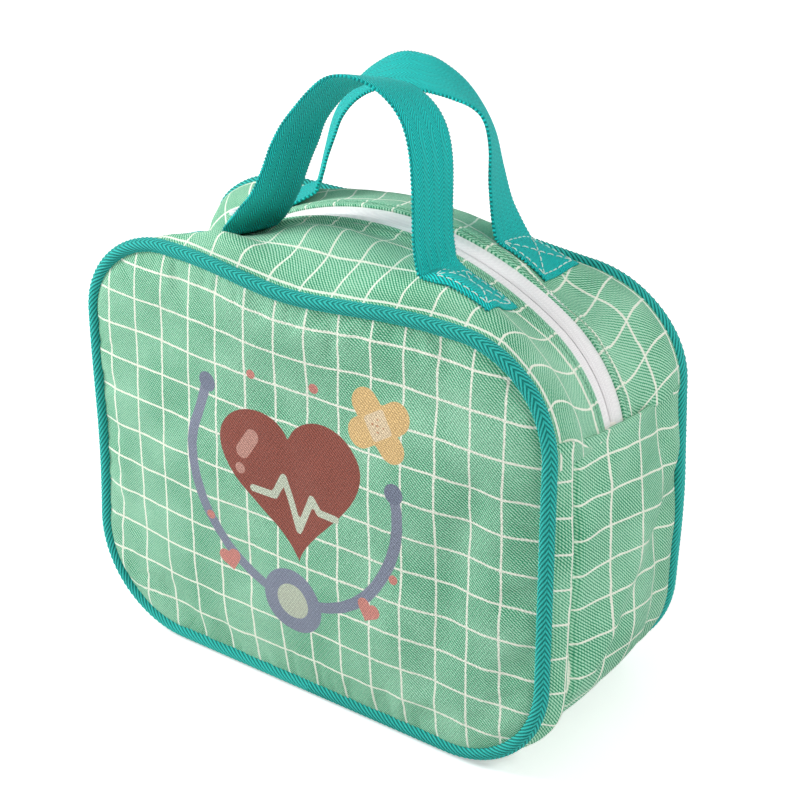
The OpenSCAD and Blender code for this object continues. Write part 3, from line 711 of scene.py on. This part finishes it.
# %% Surface of the gusset
# printed lines run along the gusset at these depths, counted from the front
SIDE_Y = [-45, -38.5, -30, -6, 14.5, 29, 45]
SIDE_LINES = [-0.35, 0, 1, 2, 3, 4, 5]
# height of the gusset's folded top at each depth
SEAM_Y = [-46, -41, -13, 5, 24, 43, 46]
SEAM_TOP = [157, 156.5, 148.6, 146.6, 146.4, 148.5, 149]
# the long crease's depth at each height
CREASE_Z, CREASE_Y = [30, 40, 56, 67, 82, 98, 123, 140], [-34, -20, -5, 3, 15, 26, 39, 42]


def seam_z(y):
    return np.interp(y, SEAM_Y, SEAM_TOP)


def along_loop(d):
    """loop_at on the piping's middle line, for a grid of distances."""
    return [q.reshape(d.shape) for q in loop_at(d.reshape(-1), PIPING_R)[:4]]


def gusset_points(d, y, depth):
    """Points d mm along the loop at a depth y; depth is the distance in from the canvas."""
    x, z, nx, nz = along_loop(d)
    edge = np.clip((EDGE_Y + 1.5 - np.abs(y)) / 5.0, 0, 1)
    rise = PIPING_R * np.sin(edge * np.pi / 2) - 0.4
    side = np.abs(nx)
    ridge = (2.6 * bell(y, -38.5, 3.4) - 3.8 * bell(y, -30.5, 3.0)
             + 0.9 * bell(y, 38.5, 4.0) - 1.2 * bell(y, 31, 3.5))
    # the right side has the stronger ridge; the left one is filled more evenly
    rise = rise + ridge * np.clip(side * 1.3, 0, 1) * np.where(nx > 0, 1.0, 0.45)
    off = y - np.interp(z, CREASE_Z, CREASE_Y)
    crease = 2.5 * np.where(off < 0, bell(off, 0, 14), bell(off, 0, 8)) - 1.3 * bell(off, 14, 8)
    height = smoothstep(z, 22, 50) * (1 - smoothstep(z, 112, 138))
    rise = rise + np.where(nx > 0.5, crease * height, 0)
    rise = rise + np.where(nx < -0.5, bell(y, 8, 16) * bell(z, 90, 40) * 1.5, 0)
    # the seam pulls a hollow and a short fold into the cloth below the zip's end
    hollow = -1.6 * (bell(z, 128, 11) * bell(y, -20, 10))
    tuck = 1.0 * bell(y - (z - 128) * 0.9, -2, 6) * bell(z, 130, 14)
    rise = rise + np.where(nx > 0.5, hollow + tuck, 0)
    share = np.clip((z - 100) / 46, 0, 1) ** 2
    draw = np.where(nx > 0, RIGHT_DRAW, LEFT_DRAW) * share * cover(y) * np.clip(side * 1.5, 0, 1)
    # the folded top is a little thicker
    lift = np.where(side > 0.5, bell(z, seam_z(y), 3.0) * 0.8, 0)
    out = rise - draw + lift - depth
    p = settle(xyz(x + nx * out, y, z + nz * out))
    # the case stands on the ground, and its layers don't sink into each other there
    p[..., 2] = np.maximum(p[..., 2], min(depth, 6.0))
    return p


def gusset_grid(n, m):
    """Distances along the loop that end at the top seam, for each depth y."""
    y = np.concatenate([np.linspace(-46.2, -26, m // 2), np.linspace(-26, 46.2, m - m // 2 + 1)[1:]])
    straight = CASE_W / 2 - BOTTOM_R + (BOTTOM_R - PIPING_R) * math.pi / 2
    reach = straight + np.maximum(0, seam_z(y) - BOTTOM_R)
    # above the straight side the outline bends, so the same height takes a little more cloth
    reach = reach + 0.05 * np.maximum(0, seam_z(y) - (CASE_H - TOP_R))
    return np.linspace(-1, 1, n)[:, None] * reach[None, :], np.repeat(y[None, :], n, 0)


def gusset_piece(name, n, m, depth0, depth1, finish, slot, node):
    d, y = gusset_grid(n, m)
    outer, inner = gusset_points(d, y, depth0), gusset_points(d, y, depth1)
    if depth0 == 0:
        # only the canvas is rippled, along the outline's normal
        soft = ripples(outer, 26, 1.3, 5.5) + ripples(outer, 11, 0.4, 8.2)
        fade = (1 - bell(np.abs(y), 46, 4)) * smoothstep(outer[..., 2], 4, 24)
        nx, nz = along_loop(d)[2:]
        push = xyz(nx, 0, nz) * (soft * fade)[..., None]
        outer, inner = outer + push, inner + push
    # the printed lines lean a little across the side
    slant = 0.13 * (y + 45) * np.sign(d)
    uv = np.stack([d + slant + 500 * GRID + 2.0, np.interp(y, SIDE_Y, SIDE_LINES) * GRID + 50 * GRID], -1)
    piece = shell(name, outer, inner, uv)
    dress(piece, finish, slot, node)
    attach(piece, "case")
    return piece


gusset_canvas = gusset_piece("gusset_canvas", 300, 64, 0, CLOTH, canvas, "canvas", "gusset")
gusset_wadding = gusset_piece("gusset_wadding", 160, 28, 2.6, 5.3, foam, "foam", "gusset_foam")
gusset_lining = gusset_piece("gusset_lining_cloth", 160, 28, 5.4, 6.2, lining, "lining", "gusset_lining")
print("gusset:", len(gusset_canvas.data.polygons), "faces")

# %% [markdown]
# ## Strips beside the zip
# The strips rise from the piping over the foam and end in a folded edge beside the zip. Their
# lower ends go under the gusset's folded top.

# %% Surface of a strip
STITCH_Y = 9.6    # the row of stitches in each hem, from the zip's line


def skin_points(a, y, off):
    """Points of the top at leans a and depths y, lifted by off along their rays."""
    rim = ray_to_outline(CREST_X, ARC_Z, a, 1.6)
    r = rim + (zip_ray(a) - rim) * cover(y) + off
    return xyz(CREST_X + r * np.sin(a), y, ARC_Z + r * np.cos(a))


def strip_ends(y, under):
    """Leans at which a strip, at a depth y, meets the seam of the gusset."""
    a = np.linspace(-1.25, 1.25, 900)
    ends = []
    for q in y:
        # from left to right the height climbs over the first third and falls over the last
        z = skin_points(a, np.full_like(a, q), 0)[:, 2]
        level = seam_z(q) - under
        left = np.interp(level, z[:300], a[:300])
        right = np.interp(-level, -z[600:], a[600:])
        ends.append((left, right))
    return np.array(ends)


def strip_grid(y, n, under=3.0):
    ends = strip_ends(y, under)
    t = np.linspace(0, 1, n)[:, None]
    return ends[None, :, 0] * (1 - t) + ends[None, :, 1] * t, np.repeat(y[None, :], n, 0)


def walked(points, axis):
    """How much cloth lies between the start of a grid of points and each point, along one axis."""
    steps = np.cumsum(np.linalg.norm(np.diff(points, axis=axis), axis=-1), axis=axis)
    return np.concatenate([np.zeros_like(np.take(steps, [0], axis)), steps], axis)


def strip_sheet(side, a, y, off):
    """Points of a strip: its puff, its hem beside the zip, the groove of its stitches and its humps."""
    q = np.abs(y)
    puff = 1.6 * np.sin(np.clip((46 - q) / 20, 0, 1) * np.pi) + 1.2 * bell(q, 26, 9)
    hem = 0.7 * smoothstep(-q, -13.0, -11.8) - 0.5 * smoothstep(-q, -8.4, -7.0)
    groove = -0.5 * bell(q, STITCH_Y, 0.7)
    x = CREST_X + ARC_R * np.sin(a)
    shoulder = bell(q, 35, 11) * (1 - smoothstep(q, 41, 46.5))
    if side < 0:
        # the front handle tugs the padded strip up where its two ends are sewn on
        brow = bell(q, 40.5, 6.5) * (1 - smoothstep(q, 42.5, 46.5))
        hump = 8.0 * brow * bell(x, -44, 22) + shoulder * (7.5 * bell(x, 60, 24) + 1.5 * smoothstep(x, -40, 0))
        hump = hump + (4.6 * bell(q, 25, 7.5) - 2.2 * bell(q, 13, 5)) * bell(x, -2, 26)
        hump = hump - 2.6 * bell(q, 19, 7) * bell(x, -44, 16)
    else:
        hump = (-5.0 * bell(x, 82, 12) * bell(q, 24, 14) + 2.2 * bell(x, 100, 9) * bell(q, 28, 12)
                + 1.5 * shoulder + 2.5 * bell(x, -20, 40) * shoulder)
    p = settle(skin_points(a, y, puff + hem + groove + hump + off))
    soft = ripples(p, 24, 1.1, 6.4 + side) + ripples(p, 10, 0.35, 2.2)
    fade = smoothstep(46 - q, 0, 6) * smoothstep(q, 9, 16)
    p[..., 0] += np.sin(a) * soft * fade
    p[..., 2] += np.cos(a) * soft * fade
    return p


def build_strip(side):
    word = SIDES[side]
    rows = np.concatenate([np.linspace(46, 14, 26), np.linspace(13, 7, 13)])
    a, q = strip_grid(rows, 260)
    outer = strip_sheet(side, a, side * q, 0.0)
    run = walked(outer, 0)
    uv = np.stack([run - run[-1:] / 2 + 300 * GRID + 5.0, walked(outer, 1) - 2.6 + 60 * GRID], -1)
    # the two hidden layers stop short of the hem and are coarser
    a2, q2 = strip_grid(rows[rows > 10.2][::2], 90)
    uv2 = np.stack([walked(strip_sheet(side, a2, side * q2, -5.4), 0), q2], -1)
    order = slice(None, None, side)
    pieces = []
    for name, at, depth, top, bottom, cloth in (
            ("canvas", a, q, 0.0, -CLOTH, uv), ("wadding", a2, q2, -1.6, -5.3, uv2),
            ("lining_cloth", a2, q2, -5.4, -6.2, uv2)):
        pieces.append(shell(word + "_strip_" + name, strip_sheet(side, at, side * depth, top)[:, order],
                            strip_sheet(side, at, side * depth, bottom)[:, order], cloth[:, order]))
    dress_layers(side, pieces, canvas, [("_strip",), ("_strip_foam",), ("_strip_lining",)])
    print(word, "strip:", len(pieces[0].data.polygons), "faces")
    return pieces


front_strip, back_strip = [build_strip(side) for side in SIDES]

# %% [markdown]
# ## Piping
# A cord in a folded herringbone tape is sewn between panel and gusset. The tape's chevrons are
# real ridges here: a tube is swept along the loop and its radius rises and falls with the weave.

# %% Tube with chevron ribs
def tube(name, path, normals, sides, radius, uv_scale, closed=True):
    """Tube along a path with two normals a point; radius is a function of (length, angle)."""
    n = len(path)
    step = np.linalg.norm(np.roll(path, -1, 0) - path, axis=1)
    length = walked(path, 0)
    angle = np.linspace(0, 2 * np.pi, sides, endpoint=False)
    r = np.broadcast_to(radius(length[:, None], angle[None, :]), (n, sides))
    out, across = normals
    p = path[:, None] + r[..., None] * (np.cos(angle)[None, :, None] * out[:, None]
                                         + np.sin(angle)[None, :, None] * across[:, None])
    faces, uvs = [], []
    for i in range(n if closed else n - 1):
        for j in range(sides):
            k, l = (i + 1) % n, (j + 1) % sides
            faces.append((i * sides + j, k * sides + j, k * sides + l, i * sides + l))
            u0, u1 = length[i], length[i] + step[i]
            v0 = ((angle[j] + np.pi) % (2 * np.pi) - np.pi) * uv_scale
            v1 = v0 + 2 * np.pi / sides * uv_scale
            uvs += [(u0, v0), (u1, v0), (u1, v1), (u0, v1)]
    if not closed:
        faces.append(tuple(range(sides)))
        faces.append(tuple((n - 1) * sides + j for j in range(sides))[::-1])
        uvs += [(0, 0)] * (2 * sides)
    return outward(make_mesh(name, p.reshape(-1, 3), faces, corner_uv=uvs))


def piping_path(side, n):
    """The piping's middle line and its two normals."""
    x, z, nx, nz = along_loop(np.linspace(0, LOOP, n, endpoint=False))
    centre = settle(xyz(x, side * (CASE_D / 2 - PIPING_R), z))
    # the tape's middle faces away from the seam: outwards and towards the panel's side
    out = xyz(nx, side, nz) / math.sqrt(2)
    ahead = unit(np.roll(centre, -1, 0) - np.roll(centre, 1, 0))
    out = unit(out - (out * ahead).sum(1)[:, None] * ahead)
    return centre, (out, np.cross(ahead, out))


def chevron(length, angle):
    """Radius of the tape: its ribs slant away from a shallow fold along the middle."""
    turn = np.abs((angle + np.pi) % (2 * np.pi) - np.pi)
    phase = 2 * np.pi * (length + turn * PIPING_R * RIB_SLOPE) / RIB_PITCH
    rib = np.clip(0.5 + 0.9 * np.sin(phase), 0, 1)
    fold = 1 - np.exp(-(turn * PIPING_R / 0.35) ** 2)
    return PIPING_R - 0.2 + 0.4 * rib * (0.35 + 0.65 * fold)


CORD_R = 1.9


def build_piping(side):
    word = SIDES[side]
    # the number of ribs is whole, so that the loop closes without a step
    ribs = round(LOOP / RIB_PITCH)
    centre, normals = piping_path(side, ribs * 6)
    scale = RIB_PITCH * ribs / np.linalg.norm(np.roll(centre, -1, 0) - centre, axis=1).sum()
    tape = tube(word + "_piping_tape", centre, normals, 22,
                lambda length, angle: chevron(length * scale, angle), PIPING_R)
    dress(tape, piping_tape, "piping_tape", "_piping_lower", "_piping_upper", side=side)
    cord = tube(word + "_piping_cord", *piping_path(side, 360), 10, lambda length, angle: CORD_R, 2.0)
    dress(cord, cord_fill, "piping_cord", "_cord_lower", "_cord_upper", side=side)
    print(word, "piping:", ribs, "ribs,", len(tape.data.polygons), "faces")


for side in SIDES:
    build_piping(side)

# %% [markdown]
# ## Zip
# The coil lies under the tapes, so only the tapes show, with the thin line where they meet. Each
# tape is a shell along the zip's line; inside, the coil is one tube that winds along its edge.

# %% Zip tapes
COIL_TURNS, COIL_STEPS = 230, 8      # turns of the wire, and points on each
COIL_Y, COIL_DEPTH = 2.0, 3.3        # its middle, from the zip's line and down from the top
COIL_ACROSS, COIL_UP = 1.15, 0.75    # the two half sizes of a turn
WIRE_R = 0.32


def zip_sheet(a, y, off):
    """Points of a zip tape: it rolls down at the middle and has a fine rib along its edge."""
    q = np.abs(y)
    roll = -1.1 * bell(q, 0.2, 0.9) + 0.25 * bell(q, 3.4, 1.2) - 0.22 * bell(q, 1.9, 0.35)
    return settle(skin_points(a, y, -1.0 + roll + off))


def away(a):
    """Unit vectors from the centre of the zip's arc, at leans a."""
    return xyz(np.sin(a), 0, np.cos(a))


def coil_wire(side):
    left, right = strip_ends(np.array([COIL_Y]), 0.0)[0]
    t = np.linspace(0, 1, COIL_TURNS * COIL_STEPS + 1)
    lean = left + 0.02 + (right - left - 0.04) * t
    spin = 2 * np.pi * COIL_TURNS * t
    up = away(lean)
    path = skin_points(lean, np.full_like(lean, side * COIL_Y), -COIL_DEPTH)
    path += up * (COIL_UP * np.sin(spin))[:, None]
    path[:, 1] += COIL_ACROSS * np.cos(spin)
    ahead = unit(np.gradient(path, axis=0))
    out = np.cross(ahead, np.array([0, 1.0, 0]))
    # where the wire runs almost straight across, the other direction serves better
    bad = np.linalg.norm(out, axis=1) < 0.2
    out[bad] = np.cross(ahead[bad], up[bad])
    out = unit(out)
    return tube(SIDES[side] + "_zip_coil_wire", settle(path), (out, np.cross(ahead, out)), 5,
                lambda length, angle: WIRE_R, 0.3, closed=False)


def build_zip(side):
    word = SIDES[side]
    rows = np.concatenate([np.linspace(0.25, 4, 14), np.linspace(4.5, 9.8, 8)])
    a, q = strip_grid(rows, 240, under=2.0)
    order = slice(None, None, -side)
    tape = shell(word + "_zip_tape_cloth", zip_sheet(a, side * q, 0)[:, order],
                 zip_sheet(a, side * q, -0.7)[:, order], np.stack([a * ARC_R, q], -1)[:, order])
    dress(tape, zip_tape, "zip_tape", "_zip_tape", side=side)
    dress(coil_wire(side), nylon, "zip_coil", "_zip_coil", side=side)
    print(word, "zip:", COIL_TURNS, "turns of coil")


for side in SIDES:
    build_zip(side)

# %% [markdown]
# ## Handles
# Each handle is one length of webbing: a flat end sewn to the strip, a leg, the arch, the other
# leg and the other end. Its two edges don't run quite side by side, because soft webbing twists,
# so the band is ruled between two smooth curves.

# %% Webbing bands
def smooth_line(points, n):
    """Evenly spaced points on a smooth curve through a few given ones."""
    p = np.array(points, float)
    q = np.concatenate([[2 * p[0] - p[1]], p, [2 * p[-1] - p[-2]]])
    t = np.linspace(0, 1, 24, endpoint=False)[:, None]
    out = []
    for a, b, c, d in zip(q, q[1:], q[2:], q[3:]):
        out.append(0.5 * ((2 * b) + (c - a) * t + (2 * a - 5 * b + 4 * c - d) * t ** 2
                          + (3 * b - a - 3 * c + d) * t ** 3))
    out = np.concatenate(out + [p[-1:]])
    run = walked(out, 0)
    at = np.linspace(0, run[-1], n)
    return np.stack([np.interp(at, run, out[:, k]) for k in range(out.shape[1])], -1)


def level(y, *points):
    """Points across and high that share one depth."""
    return [(x, y, z) for x, z in points]


# each point is across, deep and high; the outer edge is the one away from the zip
FRONT_OUTER = [(-57, -34.5, 194), (-52, -35, 201), (-44.5, -36.5, 209.5), (-34.5, -38, 221),
               *level(-38.5, (-28, 233), (-23.3, 244), (-17.5, 254), (-10.5, 263), (-2.6, 272), (4, 278),
                      (11, 281.2), (19, 282), (27, 281), (34, 278), (40, 273), (44, 266), (46.3, 256),
                      (47.2, 243), (47.4, 231), (47.6, 220), (49, 211), (52, 205))]
FRONT_INNER = [(-46, -11, 194), (-38, -12, 202.5), (-30, -13, 215.5),
               *level(-13.5, (-23.6, 230), (-18.9, 240), (-15.2, 249), (-9, 257.6), (-2.9, 264), (4, 268.5),
                      (12, 272), (20, 273.6), (28.4, 273.3), (36, 270.5), (42, 265.5), (46, 258), (47.8, 248),
                      (48, 238), (47.8, 228), (47.9, 219), (49, 210), (51, 203))]
BACK_OUTER = [(-58, 34, 196), (-56, 33.5, 203), (-53, 33, 213), (-48, 33, 229), (-41, 34, 241), (-34, 35, 249.5),
              (-27.6, 36, 255.4), (-18.8, 36.5, 261.3), (-11.9, 37, 263.8), (-4.2, 37, 264.4), (4.2, 37, 263.6),
              (15.5, 37.5, 258.4), (23.9, 38, 250.5), (31.4, 38, 239.2), (35.7, 38, 225), (40.1, 38, 211.4),
              (45.5, 38.3, 202), (49, 38.5, 197)]
BACK_INNER = [(-46, 14.5, 199), (-41.5, 15, 208), (-38.5, 15, 217), (-34, 15, 228), (-29.4, 14.5, 238),
              (-21.5, 14, 247.5), (-11, 13.5, 254.5),
              *level(13, (2, 258.3), (12, 259.6), (21, 260), (29.6, 259.6), (38.6, 258.2), (44.5, 253.5),
                     (46.9, 243), (46.9, 229)),
              (47.8, 13.2, 216.4), (49, 13.5, 207), (51, 13.5, 202)]


def sewn_row(side, x, y, off):
    """A point on the strip below a sewn end, lifted by off."""
    a = np.arcsin((np.array([x]) - CREST_X) / ARC_R)
    return strip_sheet(side, a, np.array([y]), off)[0]


# each sewn end, right then left: its far x, the x of the fold under the leg, and its two edges' depths
SEWN = {-1: ((79, 54.5, 38.5, 13.5), (-82, -58, 34.5, 11)), 1: ((75, 52, 38.5, 13.5), (-79, -59, 36, 13.5))}
WEB_W, WEB_HALF = 25.0, 0.85    # width and half thickness
ROWS, ACROSS = 560, 20          # points along the band and across it


def build_handle(side):
    word = SIDES[side]
    outer, inner = (FRONT_OUTER, FRONT_INNER) if side < 0 else (BACK_OUTER, BACK_INNER)
    t = np.linspace(0, 1, ACROSS)[:, None]
    ends = [[np.array([sewn_row(side, x, side * (y_out + (y_in - y_out) * k), WEB_HALF) for k in t[:, 0]])
             for x in np.linspace(far, near, 21)] for far, near, y_out, y_in in SEWN[side]]
    arch = [o * (1 - t) + i * t for o, i in zip(smooth_line(outer, 220), smooth_line(inner, 220))]
    line = ends[1] + arch + ends[0][::-1]
    # every fifth row is a knot of one smooth band from end to end
    knots = [row.reshape(-1) for row in line[:1] + line[2::5] + line[-1:]]
    band = smooth_line(knots, ROWS).reshape(ROWS, ACROSS, 3)
    across = np.gradient(band, axis=1)
    normal = unit(np.cross(np.gradient(band, axis=0), across))
    if normal[ROWS // 2, ACROSS // 2, 2] < 0:
        normal = -normal
    run = walked((band[:, 0] + band[:, -1]) / 2, 0)
    # the woven edges turn in and out every 1.7 mm
    scallop = (0.35 * np.sin(2 * np.pi * run / 1.7))[:, None]
    band[:, 0] -= unit(across)[:, 0] * scallop
    band[:, -1] += unit(across)[:, -1] * scallop
    edge_t = np.abs(t[:, 0] - 0.5) * 2
    # the webbing is pressed thinner where it is sewn down
    pressed = 1 - 0.35 * (1 - smoothstep(np.minimum(run, run[-1] - run), 17, 30))
    half = WEB_HALF * (1 - 0.35 * edge_t ** 8)[None, :, None] * pressed[:, None, None]
    uv = np.stack([np.repeat(run[:, None], ACROSS, 1), np.repeat(t.T * WEB_W, ROWS, 0)], -1)
    piece = shell(word + "_handle_webbing", band + normal * half, band - normal * half, uv)
    dress(piece, webbing, "webbing", word + "_handle", word + "_sewn_end_left", word + "_sewn_end_right")
    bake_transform(piece)
    print(word, "handle: %.0f mm of webbing" % run[-1])


for side in SIDES:
    build_handle(side)

# %% [markdown]
# ## Stitches
# A stitch is a short length of thread that dips into the cloth at both ends. One is modelled as a
# bent capsule, and rows of copies are laid along the sewn ends and the strips' edges.

# %% Stitch rows
SEWN_LIFT, HEM_LIFT = 1.5, 0.25    # the threads' height over the strip
# along a stitch: how far, how thick and how high
SECTIONS = ((0.0, 0.35, -0.25), (0.14, 0.9, 0.15), (0.5, 1.0, 0.32), (0.86, 0.9, 0.15), (1.0, 0.35, -0.25))


def stitch_points(p, q, up, width, height):
    """Six-sided bent capsule from p to q."""
    side = unit(np.cross(unit(q - p), up))
    points = []
    for t, s, lift in SECTIONS:
        c = p + (q - p) * t + up * lift * height / 0.4
        for w in np.arange(6) * np.pi / 3:
            points.append(c + side * math.cos(w) * s * width / 2 + up * math.sin(w) * s * height / 2)
    return points


def stitches(side, name, rows, node, finish, width, height):
    points, faces = [], []
    for p, q, up in rows:
        base = len(points)
        points += stitch_points(p, q, up, width, height)
        for r in range(base, base + 24, 6):
            faces += [(r + k, r + (k + 1) % 6, r + (k + 1) % 6 + 6, r + k + 6) for k in range(6)]
        faces += [tuple(range(base, base + 6))[::-1], tuple(range(base + 24, base + 30))]
    o = outward(make_mesh(SIDES[side] + name, points, faces))
    dress(o, finish, "thread", node, side=side)


def stitch_line(side, start, end, pitch=3.6):
    """Stitches over a sewn end from one (x, y) to another; each leaves a tenth free at both ends."""
    start, end = np.array(start, float), np.array(end, float)
    count = max(1, int(round(np.linalg.norm(end - start) / pitch)))
    out = []
    for k in range(count):
        a, b = start + (end - start) * (k + 0.1) / count, start + (end - start) * (k + 0.9) / count
        p, q = [sewn_row(side, x, y, SEWN_LIFT) for x, y in (a, b)]
        out.append((p, q, away((a[0] - CREST_X) / ARC_R)))
    return out


def build_stitches(side):
    rows = []
    for far, near, y_out, y_in in SEWN[side]:
        s = math.copysign(1, far)
        x0, x1 = near + s * 0.6, far - s * 2.3
        y0, y1 = side * (y_out - 2.0), side * (y_in + 2.0)
        # a box and the cross in it
        for a, b in (((x0, y0), (x1, y0)), ((x0, y1), (x1, y1)), ((x0, y0), (x0, y1)), ((x1, y0), (x1, y1)),
                     ((x0, y0), (x1, y1)), ((x0, y1), (x1, y0))):
            rows += stitch_line(side, a, b)
    stitches(side, "_sewn_stitches", rows, "_sewn_stitching", thread, 0.6, 0.4)
    left, right = strip_ends(np.array([STITCH_Y]), -2.0)[0]
    lean = np.linspace(left, right, 131)
    rows = []
    for a, b in zip(lean[:-1], lean[1:]):
        p, q = [strip_sheet(side, np.array([c]), np.array([side * STITCH_Y]), HEM_LIFT)[0]
                for c in (a * 0.9 + b * 0.1, a * 0.1 + b * 0.9)]
        rows.append((p, q, away(a)))
    stitches(side, "_edge_stitches", rows, "_edge_stitching", green_thread, 0.5, 0.35)


for side in SIDES:
    build_stitches(side)

# %% [markdown]
# ## Inside: binding, board and stops, and the slider
# The seams inside are bound with tape. The board lies loose on the lining. The slider, its bridge and
# the pull tab keep their CAD shapes, because cast metal is exactly that; they get white enamel.

# %% Binding and hard pieces
def build_binding(side):
    x, z, nx, nz = along_loop(np.linspace(0, LOOP, 300, endpoint=False))
    centre = settle(xyz(x - nx * 6.0, side * (EDGE_Y - 1.6), z - nz * 6.0))
    normals = xyz(nx, 0, nz), np.array([[0.0, side, 0.0]])
    tape = tube(SIDES[side] + "_seam_binding", centre, normals, 10,
                lambda length, angle: 0.62 / np.maximum(0.42, np.abs(np.cos(angle))), 1.0)
    dress(tape, binding, "binding_tape", "_binding_lower", "_binding_upper", side=side)


for side in SIDES:
    build_binding(side)


def enamel():
    """White baked enamel on zinc: smooth, with a soft clear gloss and tiny pits."""
    material, t = new_material("White enamel on zinc")
    pits = cloud_of(t, add(t, "ShaderNodeTexCoord").outputs["Object"], 900.0, 3.0)
    colour = mix(t, pits, linear("#e9e9ec"), linear("#f7f7f9"))
    surface(t, colour, pits, 0.15, 0.00005, Roughness=0.28, Coat_Weight=0.4, Coat_Roughness=0.15)
    return material


white_enamel = enamel()
for node, finish in (("slider_body", white_enamel), ("slider_bridge", white_enamel), ("pull_tab", white_enamel),
                     ("front_zip_stop", nylon), ("back_zip_stop", nylon), ("base_board", board)):
    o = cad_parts[node]
    o.data.materials.clear()
    o.data.materials.append(finish)

# %% [markdown]
# ## Camera, floor and light
# The camera stands where the photograph was taken from. The floor and the background are white to
# the camera only, through Light Path, so the object is lit by the lamps and by a plain pale world.

# %% Stage
camera_data = bpy.data.cameras.new("camera")
camera = place("camera", camera_data)
camera_data.lens, camera_data.sensor_width = 111.8, 36.0
camera_data.clip_end = 10
azimuth, elevation, roll = [math.radians(a) for a in (37.59, 27.91, -0.64)]
distance, aim = 1.0498, Vector((0.01065, 0, 0.1244))
backwards = Vector((math.sin(azimuth) * math.cos(elevation), -math.cos(azimuth) * math.cos(elevation),
                    math.sin(elevation)))
right = Vector((math.cos(azimuth), math.sin(azimuth), 0))
turn = Matrix.Rotation(roll, 3, backwards)
axes = Matrix((turn @ right, turn @ backwards.cross(right), backwards)).transposed()
camera.matrix_world = Matrix.Translation(aim + backwards * distance) @ axes.to_4x4()
bpy.context.scene.camera = camera


def area_light(name, where, at, size, power):
    data = bpy.data.lights.new(name, "AREA")
    data.shape, data.size, data.energy = "DISK", size, power
    o = place(name, data)
    o.location = where
    o.rotation_euler = (Vector(at) - Vector(where)).to_track_quat("-Z", "Y").to_euler()


area_light("window_left", (-0.8, -0.48, 0.66), (0, 0, 0.1), 0.5, 10.4)
area_light("fill_right", (1.1, -0.1, 1.1), (0.05, 0, 0.17), 0.45, 8.6)
area_light("rim_back", (0.2, 1.3, 1.5), (0, 0, 0.15), 1.0, 4)

world = bpy.data.worlds.new("pale studio")
bpy.context.scene.world = world
world.use_nodes = True
t = world.node_tree
t.nodes.clear()
path = add(t, "ShaderNodeLightPath").outputs
seen = calc(t, "MAXIMUM", path["Is Camera Ray"], path["Is Glossy Ray"])
seen = calc(t, "MAXIMUM", seen, path["Is Transmission Ray"])
ground = add(t, "ShaderNodeBackground", {"Color": (1, 1, 1, 1), "Strength": remap(t, seen, 0.0, 1.0, 0.36, 1.0)})
add(t, "ShaderNodeOutputWorld", {"Surface": ground.outputs[0]})

# half a millimetre low, so that it doesn't coincide with the bottom
corners = [(-4000, -4000, -0.5), (4000, -4000, -0.5), (4000, 4000, -0.5), (-4000, 4000, -0.5)]
floor = make_mesh("floor", corners, [(0, 1, 2, 3)])
paper, t = new_material("White paper sweep")
plain = add(t, "ShaderNodeBsdfDiffuse", {"Color": linear("#f4f4f4")}).outputs[0]
# far from the lamps the paper would turn grey, so it is made to look evenly white to the camera
middle = add(t, "ShaderNodeVectorMath", {0: add(t, "ShaderNodeTexCoord").outputs["Object"]}, operation="LENGTH")
even = remap(t, middle.outputs["Value"], 0.4, 2.2, 0.42, 0.75)
glow = add(t, "ShaderNodeEmission", {"Color": (1, 1, 1, 1), "Strength": even}).outputs[0]
both = add(t, "ShaderNodeAddShader", {0: plain, 1: glow}).outputs[0]
only_seen = add(t, "ShaderNodeMixShader",
                {0: add(t, "ShaderNodeLightPath").outputs["Is Camera Ray"], 1: plain, 2: both})
add(t, "ShaderNodeOutputMaterial", {"Surface": only_seen.outputs[0]})
floor.data.materials.append(paper)

bpy.context.scene.view_settings.view_transform = "Standard"

# %% [markdown]
# ## The flat cuts
# Canvas and lining are cut flat before they are sewn. Each piece's UV map is that flat
# cut.

def declare_sheet(piece):
    """Reads the flat cut in a piece's UV map and where each face's corners start; it keeps nothing."""
    data = piece.data
    uv = np.empty(len(data.loops) * 2)
    data.uv_layers["Cloth"].data.foreach_get("uv", uv)
    uv = uv.reshape(-1, 2)
    start = np.empty(len(data.polygons), np.int32)
    data.polygons.foreach_get("loop_start", start)
    after = np.arange(len(uv)) + 1
    after[np.append(start[1:], len(uv)) - 1] = start


for canvas_piece, wadding_piece, lining_piece in (front_pieces, back_pieces, front_strip, back_strip,
                                                  (gusset_canvas, gusset_wadding, gusset_lining)):
    declare_sheet(canvas_piece)
    declare_sheet(lining_piece)
